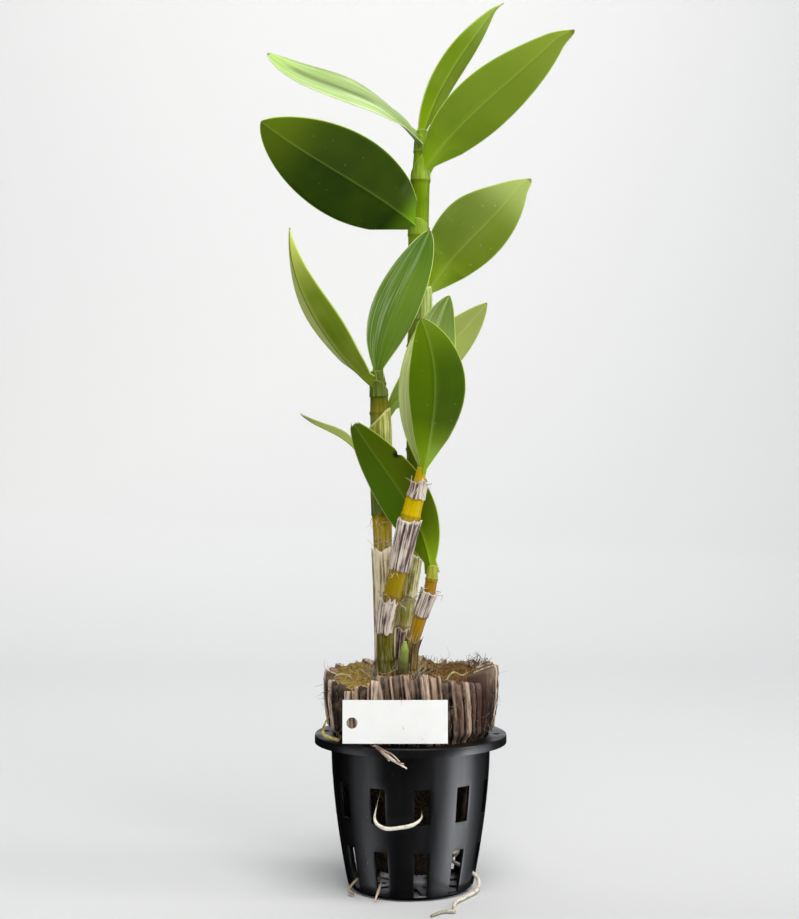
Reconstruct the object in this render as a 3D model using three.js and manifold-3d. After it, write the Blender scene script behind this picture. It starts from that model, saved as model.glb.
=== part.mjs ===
// A potted orchid: four leafy canes in husk and bark, in a slotted plastic net pot with a name card.
// Millimetres, +Z up. The origin is the middle of the pot's base; -Y is the front, where the card stands.

import * as THREE from 'three';
import { mergeVertices } from 'three/addons/utils/BufferGeometryUtils.js';
import Module from 'manifold-3d';

const wasm = await Module();
wasm.setup();

// Clearances and thicknesses

const GAP = 0.35; // between pieces that touch on the real plant
const BLADE_EDGE = 0.75; // thickness of a leaf at its margin
const BLADE_RIB = 1.5; // thickness of a leaf at its midrib
const RIB_COMB = 0.7; // how far the midrib stands out of the lower face
const NARROWEST = 0.45; // half width of a leaf at its very tip
const PAPER = 0.65; // thickness of a dry sheath
const SHEATH_ROOM = 0.6; // between a dry sheath and its cane
const NODE_RING = 0.45; // how far the ring at a node stands out
const RING_HALF = 1.4; // half the height of that ring

// Net pot

const POT_HEIGHT = 80;
const POT_SIDES = 36;
const FOOT_RADIUS = 28.5; // of the flat face that the pot stands on
const FOOT_CORNER = [31.4, 1.4]; // radius and height of the corner above it
const BASE_RADIUS = 32.3; // where the rounded foot meets the wall
const NECK_RADIUS = 41.2; // outer radius of the wall just under the rim
const NECK_HEIGHT = 71;
const WALL_HEIGHTS = [5, 13, 27, 48, NECK_HEIGHT]; // where the curved wall is given a ring
const WALL_CURVE = 1.6; // 1 would be a straight cone
const RIM_RADIUS = 50;
const RIM_SKIRT = 4.4; // height of the lip that turns down at the rim's edge
const SKIRT_WALL = 1.6;
const WALL = 1.2;
const RIM_PLATE = 1.6;
const FLOOR = 1.6;
const FLOOR_RADIUS = 29.5;
const WINDOWS = 11; // in each of two rows, with one drain slot in the floor under each
const FIRST_WINDOW = 8; // degrees from the front, towards +X
const UPPER_WINDOW = { width: 8, bottom: 40, top: 58 };
const LOWER_WINDOW = { width: 7.6, bottom: 3.2, top: 25.5 };
const WINDOW_DEPTH = 14; // the cut reaches well past both faces of the wall
const DRAIN = { inner: 13, outer: 26, width: 4.5 };
const HANGER_HOLE = { radius: 1.9, at: 44.6, angle: 84, count: 4 };

// Potting medium

const CORE_FOOT = 9; // the root ball hangs a little above the pot's floor
const CORE_RADIUS = 33.2; // from the chips' lower ends up
const CORE_SHOULDER = 60;
const CORE_SIDES = 22;
const MEDIUM_TOP = 107;
const CHIP_BOTTOM = 61;
const CHIP_ROOM = 0.8; // between the chips and the pot's wall
const CHIP_SPARE = 0.35; // degrees left free at each side of a chip
const CHIP_SIDES = 14;
const CHIP_RIDGE = 0.6; // depth of the grooves down a chip's outer face
const CHIP_FRAY = 1.6; // how ragged its upper end is
const CHIP_REACH = 3.5; // how far a chip leans out over the rim at its top
// Share of that reach by height, from the pot's mouth up
const CHIP_LEAN = [[POT_HEIGHT + 0.5, 0], [POT_HEIGHT + 4, 0.7], [POT_HEIGHT + 18, 1]];

// Card

const CARD = { width: 52.1, height: 21.4, thick: 0.6, left: -34, front: -46.3, bottom: 82.2, lean: 4 };
const CARD_HOLE = { radius: 2.75, across: 4.7, up: 10.1 };

const radians = THREE.MathUtils.degToRad;

function lerp(from, to, share) {
  return from + (to - from) * share;
}

// A fixed, repeatable scatter between -1 and 1
function scatter(seed) {
  const wave = Math.sin(seed * 127.1 + 11.7) * 43758.5453;
  return 2 * (wave - Math.floor(wave)) - 1;
}

// Value at a height in a list of [height, value] pairs, level past both its ends
function valueAt(pairs, height) {
  const next = pairs.findIndex(([high]) => height <= high);
  if (next === 0) {
    return pairs[0][1];
  }
  if (next < 0) {
    return pairs.at(-1)[1];
  }
  const [low, from] = pairs[next - 1];
  const [high, to] = pairs[next];
  return lerp(from, to, (height - low) / (high - low));
}

// Solids, for cutting one piece clear of another

function toSolid(geometry) {
  const bare = geometry.clone();
  bare.deleteAttribute('normal');
  bare.deleteAttribute('uv');
  const merged = mergeVertices(bare, 1e-4);
  return new wasm.Manifold(new wasm.Mesh({
    numProp: 3,
    vertProperties: new Float32Array(merged.attributes.position.array),
    triVerts: new Uint32Array(merged.index.array),
  }));
}

function toGeometry(solid) {
  const mesh = solid.getMesh();
  const geometry = new THREE.BufferGeometry();
  geometry.setAttribute('position', new THREE.BufferAttribute(mesh.vertProperties, 3));
  geometry.setIndex(new THREE.BufferAttribute(mesh.triVerts, 1));
  return geometry;
}

// The largest body that is left when the tools are taken away
function cut(geometry, tools) {
  const left = tools.reduce((solid, tool) => solid.subtract(toSolid(tool)), toSolid(geometry));
  const bodies = left.decompose();
  bodies.sort((a, b) => b.volume() - a.volume());
  return toGeometry(bodies[0]);
}

// A closed skin: a capped cylinder whose every point is moved. The rule is given the point's angle on
// its ring, the share of the length, and how far out it lies: 0 in the middle of a cap, 1 on the wall.
function skin(sides, steps, place) {
  const geometry = new THREE.CylinderGeometry(1, 1, 1, sides, steps);
  const position = geometry.attributes.position;
  for (let i = 0; i < position.count; i++) {
    const [x, y, z] = [position.getX(i), position.getY(i), position.getZ(i)];
    const out = Math.hypot(x, z) > 0.5 ? 1 : 0;
    const moved = place(Math.atan2(z, x), y + 0.5, out);
    position.setXYZ(i, moved.x, moved.y, moved.z);
  }
  return geometry;
}

// How far the two ends of a skin move along it when it is made longer by "extra" at both
function endShift(share, extra) {
  if (share === 0) {
    return -extra;
  }
  return share === 1 ? extra : 0;
}

// Net pot: one moulding, turned, then slotted

function wallRadius(height) {
  const share = 1 - Math.min(height, NECK_HEIGHT) / NECK_HEIGHT;
  return lerp(BASE_RADIUS, NECK_RADIUS, 1 - share ** WALL_CURVE);
}

function innerRadius(height) {
  return wallRadius(height) - WALL;
}

function aroundPot(geometry, angle, radius, height) {
  geometry.translate(0, -radius, height);
  geometry.rotateZ(radians(angle));
  return geometry;
}

function potShell() {
  const plate = POT_HEIGHT - RIM_PLATE;
  const skirt = POT_HEIGHT - RIM_SKIRT;
  const outline = [
    [0, 0],
    [FOOT_RADIUS, 0],
    FOOT_CORNER,
    ...WALL_HEIGHTS.map((height) => [wallRadius(height), height]),
    [NECK_RADIUS + 0.3, plate],
    [RIM_RADIUS - SKIRT_WALL, plate],
    [RIM_RADIUS - SKIRT_WALL, skirt],
    [RIM_RADIUS - 0.3, skirt],
    [RIM_RADIUS, skirt + 0.5],
    [RIM_RADIUS, POT_HEIGHT - 0.6],
    [RIM_RADIUS - 0.7, POT_HEIGHT],
    [NECK_RADIUS - 0.4, POT_HEIGHT],
    ...WALL_HEIGHTS.map((height) => [innerRadius(height), height]).reverse(),
    [FLOOR_RADIUS, FLOOR],
    [0, FLOOR],
  ];
  const shell = new THREE.LatheGeometry(outline.map(([r, z]) => new THREE.Vector2(r, z)), POT_SIDES);
  return shell.rotateX(Math.PI / 2);
}

function potOpenings() {
  const openings = [];
  for (let i = 0; i < WINDOWS; i++) {
    const angle = FIRST_WINDOW + (i * 360) / WINDOWS;
    for (const { width, bottom, top } of [UPPER_WINDOW, LOWER_WINDOW]) {
      const window = new THREE.BoxGeometry(width, WINDOW_DEPTH, top - bottom);
      openings.push(aroundPot(window, angle, wallRadius(bottom) + 1, (top + bottom) / 2));
    }
    const drain = new THREE.BoxGeometry(DRAIN.width, DRAIN.outer - DRAIN.inner, 3 * FLOOR);
    openings.push(aroundPot(drain, angle, (DRAIN.outer + DRAIN.inner) / 2, FLOOR / 2));
  }
  for (let i = 0; i < HANGER_HOLE.count; i++) {
    const hole = new THREE.CylinderGeometry(HANGER_HOLE.radius, HANGER_HOLE.radius, 8, 10);
    const angle = HANGER_HOLE.angle + (i * 360) / HANGER_HOLE.count;
    openings.push(aroundPot(hole.rotateX(Math.PI / 2), angle, HANGER_HOLE.at, POT_HEIGHT));
  }
  return openings;
}

// Canes: upright stems with a ring at every node. Each has the points of its middle line, [height,
// radius] pairs, and the heights of its rings.

const CANES = {
  cane_tall: {
    line: [
      [-6.6, 12, 104], [-4, 13, 132], [-1.2, 14.5, 154], [1.4, 16, 175], [3, 18, 212], [3.6, 19, 254],
      [3.9, 19, 285], [5.6, 18.6, 306], [4.2, 18, 330], [5.4, 16, 372], [6, 15, 396],
    ],
    radius: [
      [104, 4.4], [130, 4.7], [160, 4.5], [200, 5], [240, 5.6], [310, 5.7], [350, 5.4], [372, 5],
      [390, 3.6], [396, 2.6],
    ],
    rings: [116, 134, 148, 162, 176, 201, 228, 256, 283, 311, 342, 371, 386],
  },
  cane_left: {
    line: [
      [-13.6, 2, 104], [-13.4, 2, 128], [-13.9, 1.6, 149], [-14.5, 1, 175], [-15.2, 0.4, 205],
      [-15.8, 0, 240], [-17, -1, 262], [-18, -1.6, 269],
    ],
    radius: [[104, 4.6], [125, 4.9], [170, 4.8], [195, 5.3], [235, 5.6], [255, 4.8], [269, 3]],
    rings: [118, 136, 164, 194, 222, 247, 262],
  },
  cane_front: {
    line: [
      [-11.6, -12, 104], [-13, -14, 130], [-11.7, -16, 144], [-7.3, -18, 161], [-3.3, -21, 180],
      [1.3, -23, 199.5], [4.1, -25, 210], [5.2, -26, 219],
    ],
    radius: [
      [104, 4.3], [130, 4.6], [150, 4.6], [165, 4.9], [190, 4.9], [202, 4.8], [210, 3.4], [219, 2],
    ],
    rings: [120, 137, 153, 168, 194, 206],
  },
  cane_short: {
    line: [
      [-1.4, -7.4, 104], [-0.4, -8, 114], [0.6, -9, 126], [3.4, -10, 136], [6, -11, 145],
      [8.6, -12, 152], [10.4, -13, 159], [11.4, -13, 168],
    ],
    radius: [[104, 3], [125, 3.2], [140, 3.6], [152, 3.5], [160, 3], [168, 2]],
    rings: [113, 129, 143, 153, 161],
  },
};
const CANE_SIDES = 10;

// One coordinate of a smooth line through points, and its slope, at a share u of the way from a to b
function smoothStep(before, a, b, after, u, k) {
  const span = b[2] - a[2];
  const start = ((b[k] - before[k]) / (b[2] - before[2])) * span;
  const end = ((after[k] - a[k]) / (after[2] - a[2])) * span;
  const value = (2 * u ** 3 - 3 * u ** 2 + 1) * a[k] + (u ** 3 - 2 * u ** 2 + u) * start
    + (3 * u ** 2 - 2 * u ** 3) * b[k] + (u ** 3 - u ** 2) * end;
  const slope = ((6 * u ** 2 - 6 * u) * a[k] + (3 * u ** 2 - 4 * u + 1) * start
    + (6 * u - 6 * u ** 2) * b[k] + (3 * u ** 2 - 2 * u) * end) / span;
  return { value, slope };
}

// The middle of a cane at a height, with the two directions square to the cane there
function caneAt(cane, height) {
  const line = cane.line;
  const last = line.length - 1;
  const next = line.findIndex((point, i) => i > 0 && (height <= point[2] || i === last));
  const [a, b] = [line[next - 1], line[next]];
  const before = line[Math.max(next - 2, 0)];
  const after = line[Math.min(next + 1, last)];
  const u = (height - a[2]) / (b[2] - a[2]);
  const x = smoothStep(before, a, b, after, u, 0);
  const y = smoothStep(before, a, b, after, u, 1);
  const along = new THREE.Vector3(x.slope, y.slope, 1).normalize();
  const right = new THREE.Vector3(1, 0, 0).addScaledVector(along, -along.x).normalize();
  const front = right.clone().cross(along);
  return { middle: new THREE.Vector3(x.value, y.value, height), right, front };
}

// A point beside a cane: angle 0 is towards +X, 90 degrees is the front
function besideCane(cane, height, angle, radius) {
  const { middle, right, front } = caneAt(cane, height);
  middle.addScaledVector(right, Math.cos(angle) * radius);
  return middle.addScaledVector(front, Math.sin(angle) * radius);
}

// "extra" makes the cane fatter and longer all round, for the room it needs in what it grows through
function caneGeometry(cane, extra = 0) {
  const levels = [[cane.line[0][2], 0]];
  for (const ring of cane.rings) {
    levels.push([ring - RING_HALF, 0], [ring, NODE_RING], [ring + RING_HALF, 0]);
  }
  levels.push([cane.line.at(-1)[2], 0]);
  return skin(CANE_SIDES, levels.length - 1, (angle, share, out) => {
    const [height, ridge] = levels[Math.round(share * (levels.length - 1))];
    const radius = valueAt(cane.radius, height) + ridge + extra;
    const point = besideCane(cane, height, angle, out * radius);
    point.z += endShift(share, extra);
    return point;
  });
}

const caneRooms = Object.values(CANES).map((cane) => caneGeometry(cane, GAP));

// Dry sheaths: torn, paper-thin leaf bases round the canes. Each covers an arc of its cane about the
// side it faces (90 degrees is the front), stands off a little more at its top, and ends in a ragged edge.

const SHEATHS = {
  sheath_left_papery: { on: 'cane_left', from: 117, to: 176, face: 90, arc: 250, tear: 5, stand: 0.5 },
  sheath_tall_upper: { on: 'cane_tall', from: 149.6, to: 172, face: 100, arc: 230, tear: 3, stand: 0.5 },
  sheath_tall_lower: { on: 'cane_tall', from: 117, to: 133, face: 80, arc: 230, tear: 3, stand: 0.6 },
  sheath_front_top: { on: 'cane_front', from: 203.5, to: 213, face: 80, arc: 250, tear: 2.5, stand: 0.9 },
  sheath_front_striped: { on: 'cane_front', from: 166.5, to: 193, face: 110, arc: 260, tear: 3, stand: 0.5 },
  sheath_front_lower: { on: 'cane_front', from: 134, to: 151.6, face: 150, arc: 200, tear: 5, stand: 0.5 },
  sheath_short_upper: { on: 'cane_short', from: 142, to: 155.5, face: 90, arc: 250, tear: 3, stand: 0.6 },
  sheath_short_lower: { on: 'cane_short', from: 114.5, to: 132, face: 60, arc: 230, tear: 3, stand: 0.5 },
};
const SHEATH_STRIPS = 8;

function sheathGeometry({ on, from, to, face, arc, tear, stand }) {
  const cane = CANES[on];
  const geometry = new THREE.BoxGeometry(1, 1, 1, SHEATH_STRIPS, 2, 1);
  const position = geometry.attributes.position;
  const tearing = [[0, 0.4], [0.1, 0], [0.9, 0], [1, 1]];
  for (let i = 0; i < position.count; i++) {
    const across = position.getX(i) + 0.5;
    const share = position.getY(i) + 0.5;
    const thick = position.getZ(i) > 0 ? PAPER : 0;
    const torn = tear * scatter(Math.round(across * SHEATH_STRIPS) + from) * valueAt(tearing, share);
    const height = lerp(from, to, share) + torn;
    const radius = valueAt(cane.radius, height) + NODE_RING + SHEATH_ROOM + stand * share + thick;
    const angle = radians(face + (0.5 - across) * arc);
    const point = besideCane(cane, height, angle, radius);
    position.setXYZ(i, point.x, point.y, point.z);
  }
  return geometry;
}

// Leaves: a rib through four points (base, a third, two thirds, tip), a width that swells to the
// belly and narrows to the tip, and two halves that fold up from the rib towards the upper face.
// "up" is the way the upper face looks, "base" and "tip" set how blunt the two ends are, "clasp" is
// the width at the stem, and "lean" gives one half of the blade more width than the other.

const LEAVES = {
  leaf_tall_a: {
    rib: [[3.2, 11, 348], [-22, 1, 363], [-50, -15, 377.8], [-75.5, -30, 393]],
    up: [0.15, 0.95, 0.2], width: 46, belly: 0.46, base: 0.6, tip: 0.68, fold: 8, clasp: 9,
  },
  leaf_tall_b: {
    rib: [[3.2, 10.8, 392], [-20.2, 2, 408.2], [-46.1, -4, 419.7], [-74.3, -6, 433.2]],
    up: [0.38, -0.46, 0.8], width: 34, belly: 0.54, base: 0.85, tip: 0.62, fold: 2, clasp: 7,
  },
  leaf_tall_c: {
    rib: [[4.8, 14.8, 397.6], [16.8, 17, 421.5], [31, 20, 444.7], [46.8, 21, 466.8]],
    up: [-0.4, 0.86, 0.25], width: 16, belly: 0.5, base: 0.75, tip: 0.95, fold: 16, clasp: 8,
  },
  leaf_tall_d: {
    rib: [[8.6, 10.6, 379], [27, 2, 398.5], [51.5, -6, 419.5], [79.5, -16, 443.5]],
    up: [-0.15, 0.95, 0.2], width: 31, belly: 0.48, base: 0.8, tip: 0.75, fold: 8, clasp: 9,
  },
  leaf_tall_e: {
    rib: [[9.8, 16, 315], [27, 14, 334.5], [43, 10, 350.5], [60, 10, 371]],
    up: [0.05, 0.97, 0.2], width: 36, belly: 0.48, base: 0.7, tip: 0.75, fold: 6, clasp: 8, lean: 0.14,
  },
  leaf_left_l: {
    rib: [[-18.6, -4, 262.5], [-41, -14, 283], [-56.6, -21, 311], [-62, -18, 341]],
    up: [0.6, 0.7, 0.35], width: 23, belly: 0.42, base: 0.8, tip: 1.1, fold: 26, clasp: 8,
  },
  leaf_left_c: {
    rib: [[-18, -1.5, 269.4], [-11.8, -3, 292.5], [-1, -3, 317], [10, 1, 342.5]],
    up: [0.1, -0.95, 0.25], width: 24.5, belly: 0.47, base: 0.8, tip: 0.62, fold: 12, clasp: 6,
  },
  leaf_left_r: {
    rib: [[-11.4, 1, 249.6], [4.4, 6, 266], [22.5, 15, 285], [41, 22, 306.5]],
    up: [-0.1, 0.97, 0.2], width: 22, belly: 0.58, base: 0.8, tip: 0.7, fold: 8, clasp: 7,
  },
  leaf_left_t: {
    rib: [[-20, 3, 214], [-31, 9, 230.5], [-45, 14, 239], [-58.5, 17, 247]],
    up: [0.49, 0.12, 0.86], width: 16, belly: 0.45, base: 0.8, tip: 0.8, fold: 16, clasp: 7,
  },
  leaf_front_f: {
    rib: [[6.4, -27.6, 219], [11, -34, 245.5], [11.3, -37, 269.5], [5, -34, 293.4]],
    up: [-0.12, 1, 0.05], width: 29.5, belly: 0.52, base: 0.8, tip: 0.62, fold: 10, clasp: 5, lean: -0.1,
  },
  leaf_front_b: {
    rib: [[6.8, -22.5, 219], [7, -17, 246], [10.4, -11, 276], [20.2, -1, 308]],
    up: [0, -1, 0.12], width: 29, belly: 0.5, base: 0.8, tip: 0.65, fold: 10, clasp: 5,
  },
  leaf_short_s: {
    rib: [[11.2, -13, 167.5], [2.2, -11.5, 192.6], [-12, -11.5, 215.6], [-30.2, -15, 242.4]],
    up: [0.1, 1, 0.1], width: 27, belly: 0.48, base: 0.8, tip: 0.6, fold: 8, clasp: 5,
  },
};
const LEAF_SIDES = 10;
const LEAF_STEPS = 11;
const CLASP_FOLD = 30; // degrees that a leaf folds more at its stem than along the blade
const CLASP_SHARE = 0.2; // of its length, over which it opens out

// The cubic curve that passes its four points at 0, 1/3, 2/3 and 1
function ribCurve(points) {
  const [base, third, twoThirds, tip] = points.map((point) => new THREE.Vector3(...point));
  const mix = (a, b, c, d) => new THREE.Vector3().addScaledVector(base, a).addScaledVector(third, b)
    .addScaledVector(twoThirds, c).addScaledVector(tip, d);
  const near = mix(-5 / 6, 3, -1.5, 1 / 3);
  const far = mix(1 / 3, -1.5, 3, -5 / 6);
  return new THREE.CubicBezierCurve3(base, near, far, tip);
}

// Half width of a leaf at a share of its length
function halfWidth({ width, belly, base, tip, clasp }, share) {
  const body = share < belly
    ? Math.sin((Math.PI / 2) * (share / belly)) ** base
    : Math.cos((Math.PI / 2) * ((share - belly) / (1 - belly))) ** tip;
  return Math.max((width / 2) * body, (clasp / 2) * (1 - share) ** 5, NARROWEST);
}

// A point of the blade: u runs from -1 at one margin to 1 at the other
function leafPoint(leaf, curve, share, u, lift) {
  const point = curve.getPoint(share);
  const along = curve.getTangent(share);
  const up = new THREE.Vector3(...leaf.up);
  up.addScaledVector(along, -up.dot(along)).normalize();
  const across = along.clone().cross(up);
  const half = halfWidth(leaf, share) * (1 + (leaf.lean ?? 0) * Math.sign(u));
  const fold = radians(leaf.fold + CLASP_FOLD * Math.max(1 - share / CLASP_SHARE, 0));
  point.addScaledVector(across, u * half * Math.cos(fold));
  return point.addScaledVector(up, Math.abs(u) ** 1.2 * half * Math.sin(fold) + lift);
}

function leafGeometry(leaf) {
  const curve = ribCurve(leaf.rib);
  return skin(LEAF_SIDES, LEAF_STEPS, (angle, share, out) => {
    const u = (out * Math.cos(angle)) / Math.cos(Math.PI / LEAF_SIDES);
    const face = out * Math.sign(Math.round(Math.sin(angle) * 1e6));
    const nearRib = (1 - Math.abs(u)) ** 2 * (1 - share) ** 0.5;
    const thick = lerp(BLADE_EDGE, BLADE_RIB, nearRib);
    const comb = face < 0 && Math.abs(u) < 0.1 ? RIB_COMB * (1 - share) : 0;
    return leafPoint(leaf, curve, share, u, (face * thick) / 2 - comb);
  });
}

// Husk chips: a ring of upright strips between the root ball and the pot's mouth, each with a
// grooved outer face. Angles run from the front towards +X.

const CHIPS = [
  { name: 'husk_front_1', from: -54, to: -43, top: 104.5 },
  { name: 'husk_front_2', from: -43, to: -32, top: 107.5 },
  { name: 'husk_front_3', from: -32, to: -20, top: 111 },
  { name: 'husk_front_4', from: -20, to: -9, top: 114 },
  { name: 'husk_front_5', from: -9, to: 3, top: 115.5 },
  { name: 'husk_front_6', from: 3, to: 13, top: 113.5 },
  { name: 'husk_front_7', from: 13, to: 25, top: 114.5 },
  { name: 'husk_front_8', from: 25, to: 36, top: 112 },
  { name: 'bark_right_1', from: 36, to: 59, top: 110.5, reach: 5.5 },
  { name: 'bark_right_2', from: 59, to: 85, top: 115.5, reach: 7 },
  { name: 'bark_right_3', from: 85, to: 112, top: 115, reach: 6 },
  { name: 'husk_back_1', from: 112, to: 138, top: 115, reach: 2 },
  { name: 'husk_back_2', from: 138, to: 164, top: 113, reach: 2.5 },
  { name: 'husk_back_3', from: 164, to: 190, top: 114.5, reach: 2 },
  { name: 'husk_back_4', from: 190, to: 216, top: 112.5, reach: 2.5 },
  { name: 'husk_back_5', from: 216, to: 242, top: 113.5, reach: 2 },
  { name: 'husk_left_1', from: 242, to: 263, top: 113, reach: 5 },
  { name: 'husk_left_2', from: 263, to: 285, top: 111.5, reach: 6 },
  { name: 'husk_left_3', from: 285, to: 306, top: 108.5, reach: 5.5 },
];

function chipGeometry({ from, to, top, reach = CHIP_REACH }, seed) {
  const heights = [CHIP_BOTTOM, CHIP_LEAN[0][0], CHIP_LEAN[1][0], POT_HEIGHT + 14, top];
  const inner = CORE_RADIUS + GAP;
  return skin(CHIP_SIDES, heights.length - 1, (angle, share, out) => {
    const height = heights[Math.round(share * (heights.length - 1))];
    const side = Math.cos(angle) / Math.cos(Math.PI / CHIP_SIDES);
    const outward = Math.sin(angle) > 0 ? 1 : 0;
    const strip = Math.round((side + 1) * 4);
    const mouth = innerRadius(Math.min(height, POT_HEIGHT)) - CHIP_ROOM;
    const groove = CHIP_RIDGE * (1 + scatter(seed * 31 + strip));
    const outer = mouth + reach * valueAt(CHIP_LEAN, height) - groove;
    const radius = out ? lerp(inner, outer, outward) : (inner + outer) / 2;
    const bearing = radians((from + to) / 2 + out * side * ((to - from) / 2 - CHIP_SPARE));
    const fray = share === 1 ? CHIP_FRAY * scatter(seed * 17 + strip * 3 + outward) : 0;
    return new THREE.Vector3(Math.sin(bearing) * radius, -Math.cos(bearing) * radius, height + fray);
  });
}

// Root ball: a turned plug of coir and moss that narrows to its foot. Its top is uneven, and higher
// at the back.

function coreGeometry() {
  const outline = [
    [0, CORE_FOOT],
    [14, CORE_FOOT],
    [21, CORE_FOOT + 3],
    [26, 24],
    [29.5, 42],
    [CORE_RADIUS, CORE_SHOULDER],
    [CORE_RADIUS, 84],
    [CORE_RADIUS, MEDIUM_TOP - 4],
    [30, MEDIUM_TOP - 1],
    [21, MEDIUM_TOP],
    [11, MEDIUM_TOP + 1],
    [0, MEDIUM_TOP + 1],
  ];
  const core = new THREE.LatheGeometry(outline.map(([r, z]) => new THREE.Vector2(r, z)), CORE_SIDES);
  core.rotateX(Math.PI / 2);
  const position = core.attributes.position;
  for (let i = 0; i < position.count; i++) {
    const [x, y, z] = [position.getX(i), position.getY(i), position.getZ(i)];
    if (z > CORE_SHOULDER + 30) {
      position.setZ(i, z + 0.09 * y + Math.sin(x * 0.31 + 1) * Math.cos(y * 0.27));
    } else if (z < CORE_SHOULDER) {
      const rough = 1 + 0.05 * Math.sin(Math.atan2(y, x) * 5 + z * 0.2);
      position.setXY(i, x * rough, y * rough);
    }
  }
  return core;
}

// Round growths: the rhizome that the canes rise from, the new shoot, roots and rootlets

const RHIZOME = {
  line: [
    [-6, 15.5, 102.8], [-10.5, 9, 103.2], [-14, 1.5, 103.6], [-13.8, -6.5, 103.6],
    [-10.4, -12, 103.6], [-4.6, -12.2, 103.6], [0.6, -8, 103.2],
  ],
  radii: [2.4, 3.8, 4.4, 4.2, 4.4, 3.8, 2.4],
  sides: 8,
};
const NEW_SHOOT = {
  line: [[-5.2, -15.4, 103], [-4.4, -16, 112], [-3.6, -16.4, 121], [-2.8, -16.4, 129.5]],
  radii: [2, 2.8, 2.4, 0.5],
  sides: 8,
};
const ROOTS = {
  root_front_loop: {
    line: [
      [-14.6, -26, 57], [-17, -35.6, 50], [-18, -40.4, 43], [-13.4, -41.8, 39.4],
      [-5.8, -42.8, 39.8], [1, -43, 41.4], [4.8, -40.6, 43.8], [5.4, -34.5, 45.4], [5, -27.5, 46],
    ],
    radii: [0.9, 1.1, 1.1, 1, 0.8, 0.7],
  },
  root_over_rim: {
    line: [
      [-21, -35, 87], [-20.5, -40, 83.8], [-19.5, -44.3, 81.15], [-17.2, -48.6, 81.15],
      [-14, -52, 79], [-9.8, -53.4, 76], [-2.2, -53.4, 71.2],
    ],
    radii: [0.8, 0.8, 0.75, 0.9, 1.3, 1.1, 0.6],
  },
  root_rim_left: {
    line: [[-40.5, -6, 92], [-43.8, -12, 87.5], [-45, -17, 83], [-42.6, -23, 81.7], [-36.4, -33, 81.6]],
    radii: [0.9, 1.2, 1.2, 1.2, 0.9],
  },
  root_floor: {
    line: [
      [17, -5.5, 17], [24.5, -7.6, 13], [30.5, -9, 10], [34.4, -10.4, 6.6], [34.8, -13, 3],
      [32.6, -18.4, 1.5], [28, -26.5, 1.4], [22.5, -37, 1.4], [21.2, -45, 1.4], [21, -53, 1.4],
      [16.8, -52.5, 1.2], [13.8, -54.5, 1], [9.6, -60, 0.9],
    ],
    radii: [0.9, 1.2, 1.2, 1.1, 1.1, 1.1, 1, 1, 0.7],
  },
  root_window_front: {
    line: [[-8, -22, 26], [-11.4, -27, 19.5], [-14.2, -30.2, 12], [-16.4, -33, 6], [-18.2, -36, 1.6]],
    radii: [0.8, 0.9, 1, 0.9, 0.6],
  },
  root_window_right: {
    line: [[13, -18, 31], [17.6, -23.4, 27], [20.6, -24.4, 24], [23.6, -22, 23.8], [23, -16.5, 20]],
    radii: [1.1, 1.4, 1.5, 1.4, 1],
  },
  root_stub_left: {
    line: [[-14.5, -9.5, 16], [-24, -15.4, 10], [-29.6, -18.8, 6], [-31.4, -20.6, 2.6], [-29, -23.4, 1.3]],
    radii: [0.8, 1, 1.1, 0.9],
  },
  rootlets_top_left: {
    line: [[-36, -6, 104], [-39.4, -9.5, 108.6], [-37, -12, 111.8], [-31, -12.5, 110.6], [-30, -9.5, 104]],
    radii: [0.55, 0.6, 0.65, 0.6, 0.5],
  },
  rootlets_top_right: {
    line: [[17.5, -16, 102], [18.6, -16.5, 110], [22, -15, 113.4], [26, -12, 111.4], [29.5, -10.5, 112.6]],
    radii: [0.5, 0.6, 0.6, 0.55, 0.45],
  },
};
const ROOT_SIDES = 6;

// "extra" makes the growth fatter and longer all round, for the room it needs in what it grows through
function growth({ line, radii, sides = ROOT_SIDES }, extra = 0) {
  const points = line.map((point) => new THREE.Vector3(...point));
  const curve = new THREE.CatmullRomCurve3(points, false, 'catmullrom', 0.5);
  const steps = (points.length - 1) * 2;
  const frames = curve.computeFrenetFrames(steps, false);
  const thickness = radii.map((radius, i) => [i / (radii.length - 1), radius]);
  return skin(sides, steps, (angle, share, out) => {
    const i = Math.round(share * steps);
    const radius = out * (valueAt(thickness, share) + extra);
    return curve.getPointAt(share)
      .addScaledVector(frames.tangents[i], endShift(share, extra))
      .addScaledVector(frames.normals[i], Math.cos(angle) * radius)
      .addScaledVector(frames.binormals[i], -Math.sin(angle) * radius);
  });
}

// Card: a plain tag with a punched hole, which leans on the husk

function cardGeometry() {
  const shape = new THREE.Shape();
  shape.lineTo(CARD.width, 0);
  shape.lineTo(CARD.width, CARD.height);
  shape.lineTo(0, CARD.height);
  shape.closePath();
  const hole = new THREE.Path();
  hole.absarc(CARD_HOLE.across, CARD_HOLE.up, CARD_HOLE.radius, 0, Math.PI * 2, true);
  shape.holes.push(hole);
  return new THREE.ExtrudeGeometry(shape, { depth: CARD.thick, bevelEnabled: false, curveSegments: 8 });
}

// Materials

function finish(name, color, roughness) {
  return () => new THREE.MeshStandardMaterial({ name, color, roughness, metalness: 0 });
}

const potPlastic = finish('black_plastic', 0x1b1d20, 0.4);
const husk = finish('husk', 0x6d5138, 0.95);
const coir = finish('coir', 0x8a6a35, 1);
const caneSkin = finish('cane', 0x9a9a3a, 0.5);
const leafSkin = finish('leaf', 0x4f8a1c, 0.35);
const drySheath = finish('dry_sheath', 0xd8cfb8, 0.8);
const rootSkin = finish('root', 0xe6dfc6, 0.7);
const cardPaper = finish('card', 0xf6f5f0, 0.7);

// The potted plant: a group for the pot, one for what fills it, and one for each cane with its
// sheaths and leaves

const plant = new THREE.Group();

function group(name) {
  const pieces = new THREE.Group();
  pieces.name = name;
  plant.add(pieces);
  return pieces;
}

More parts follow.
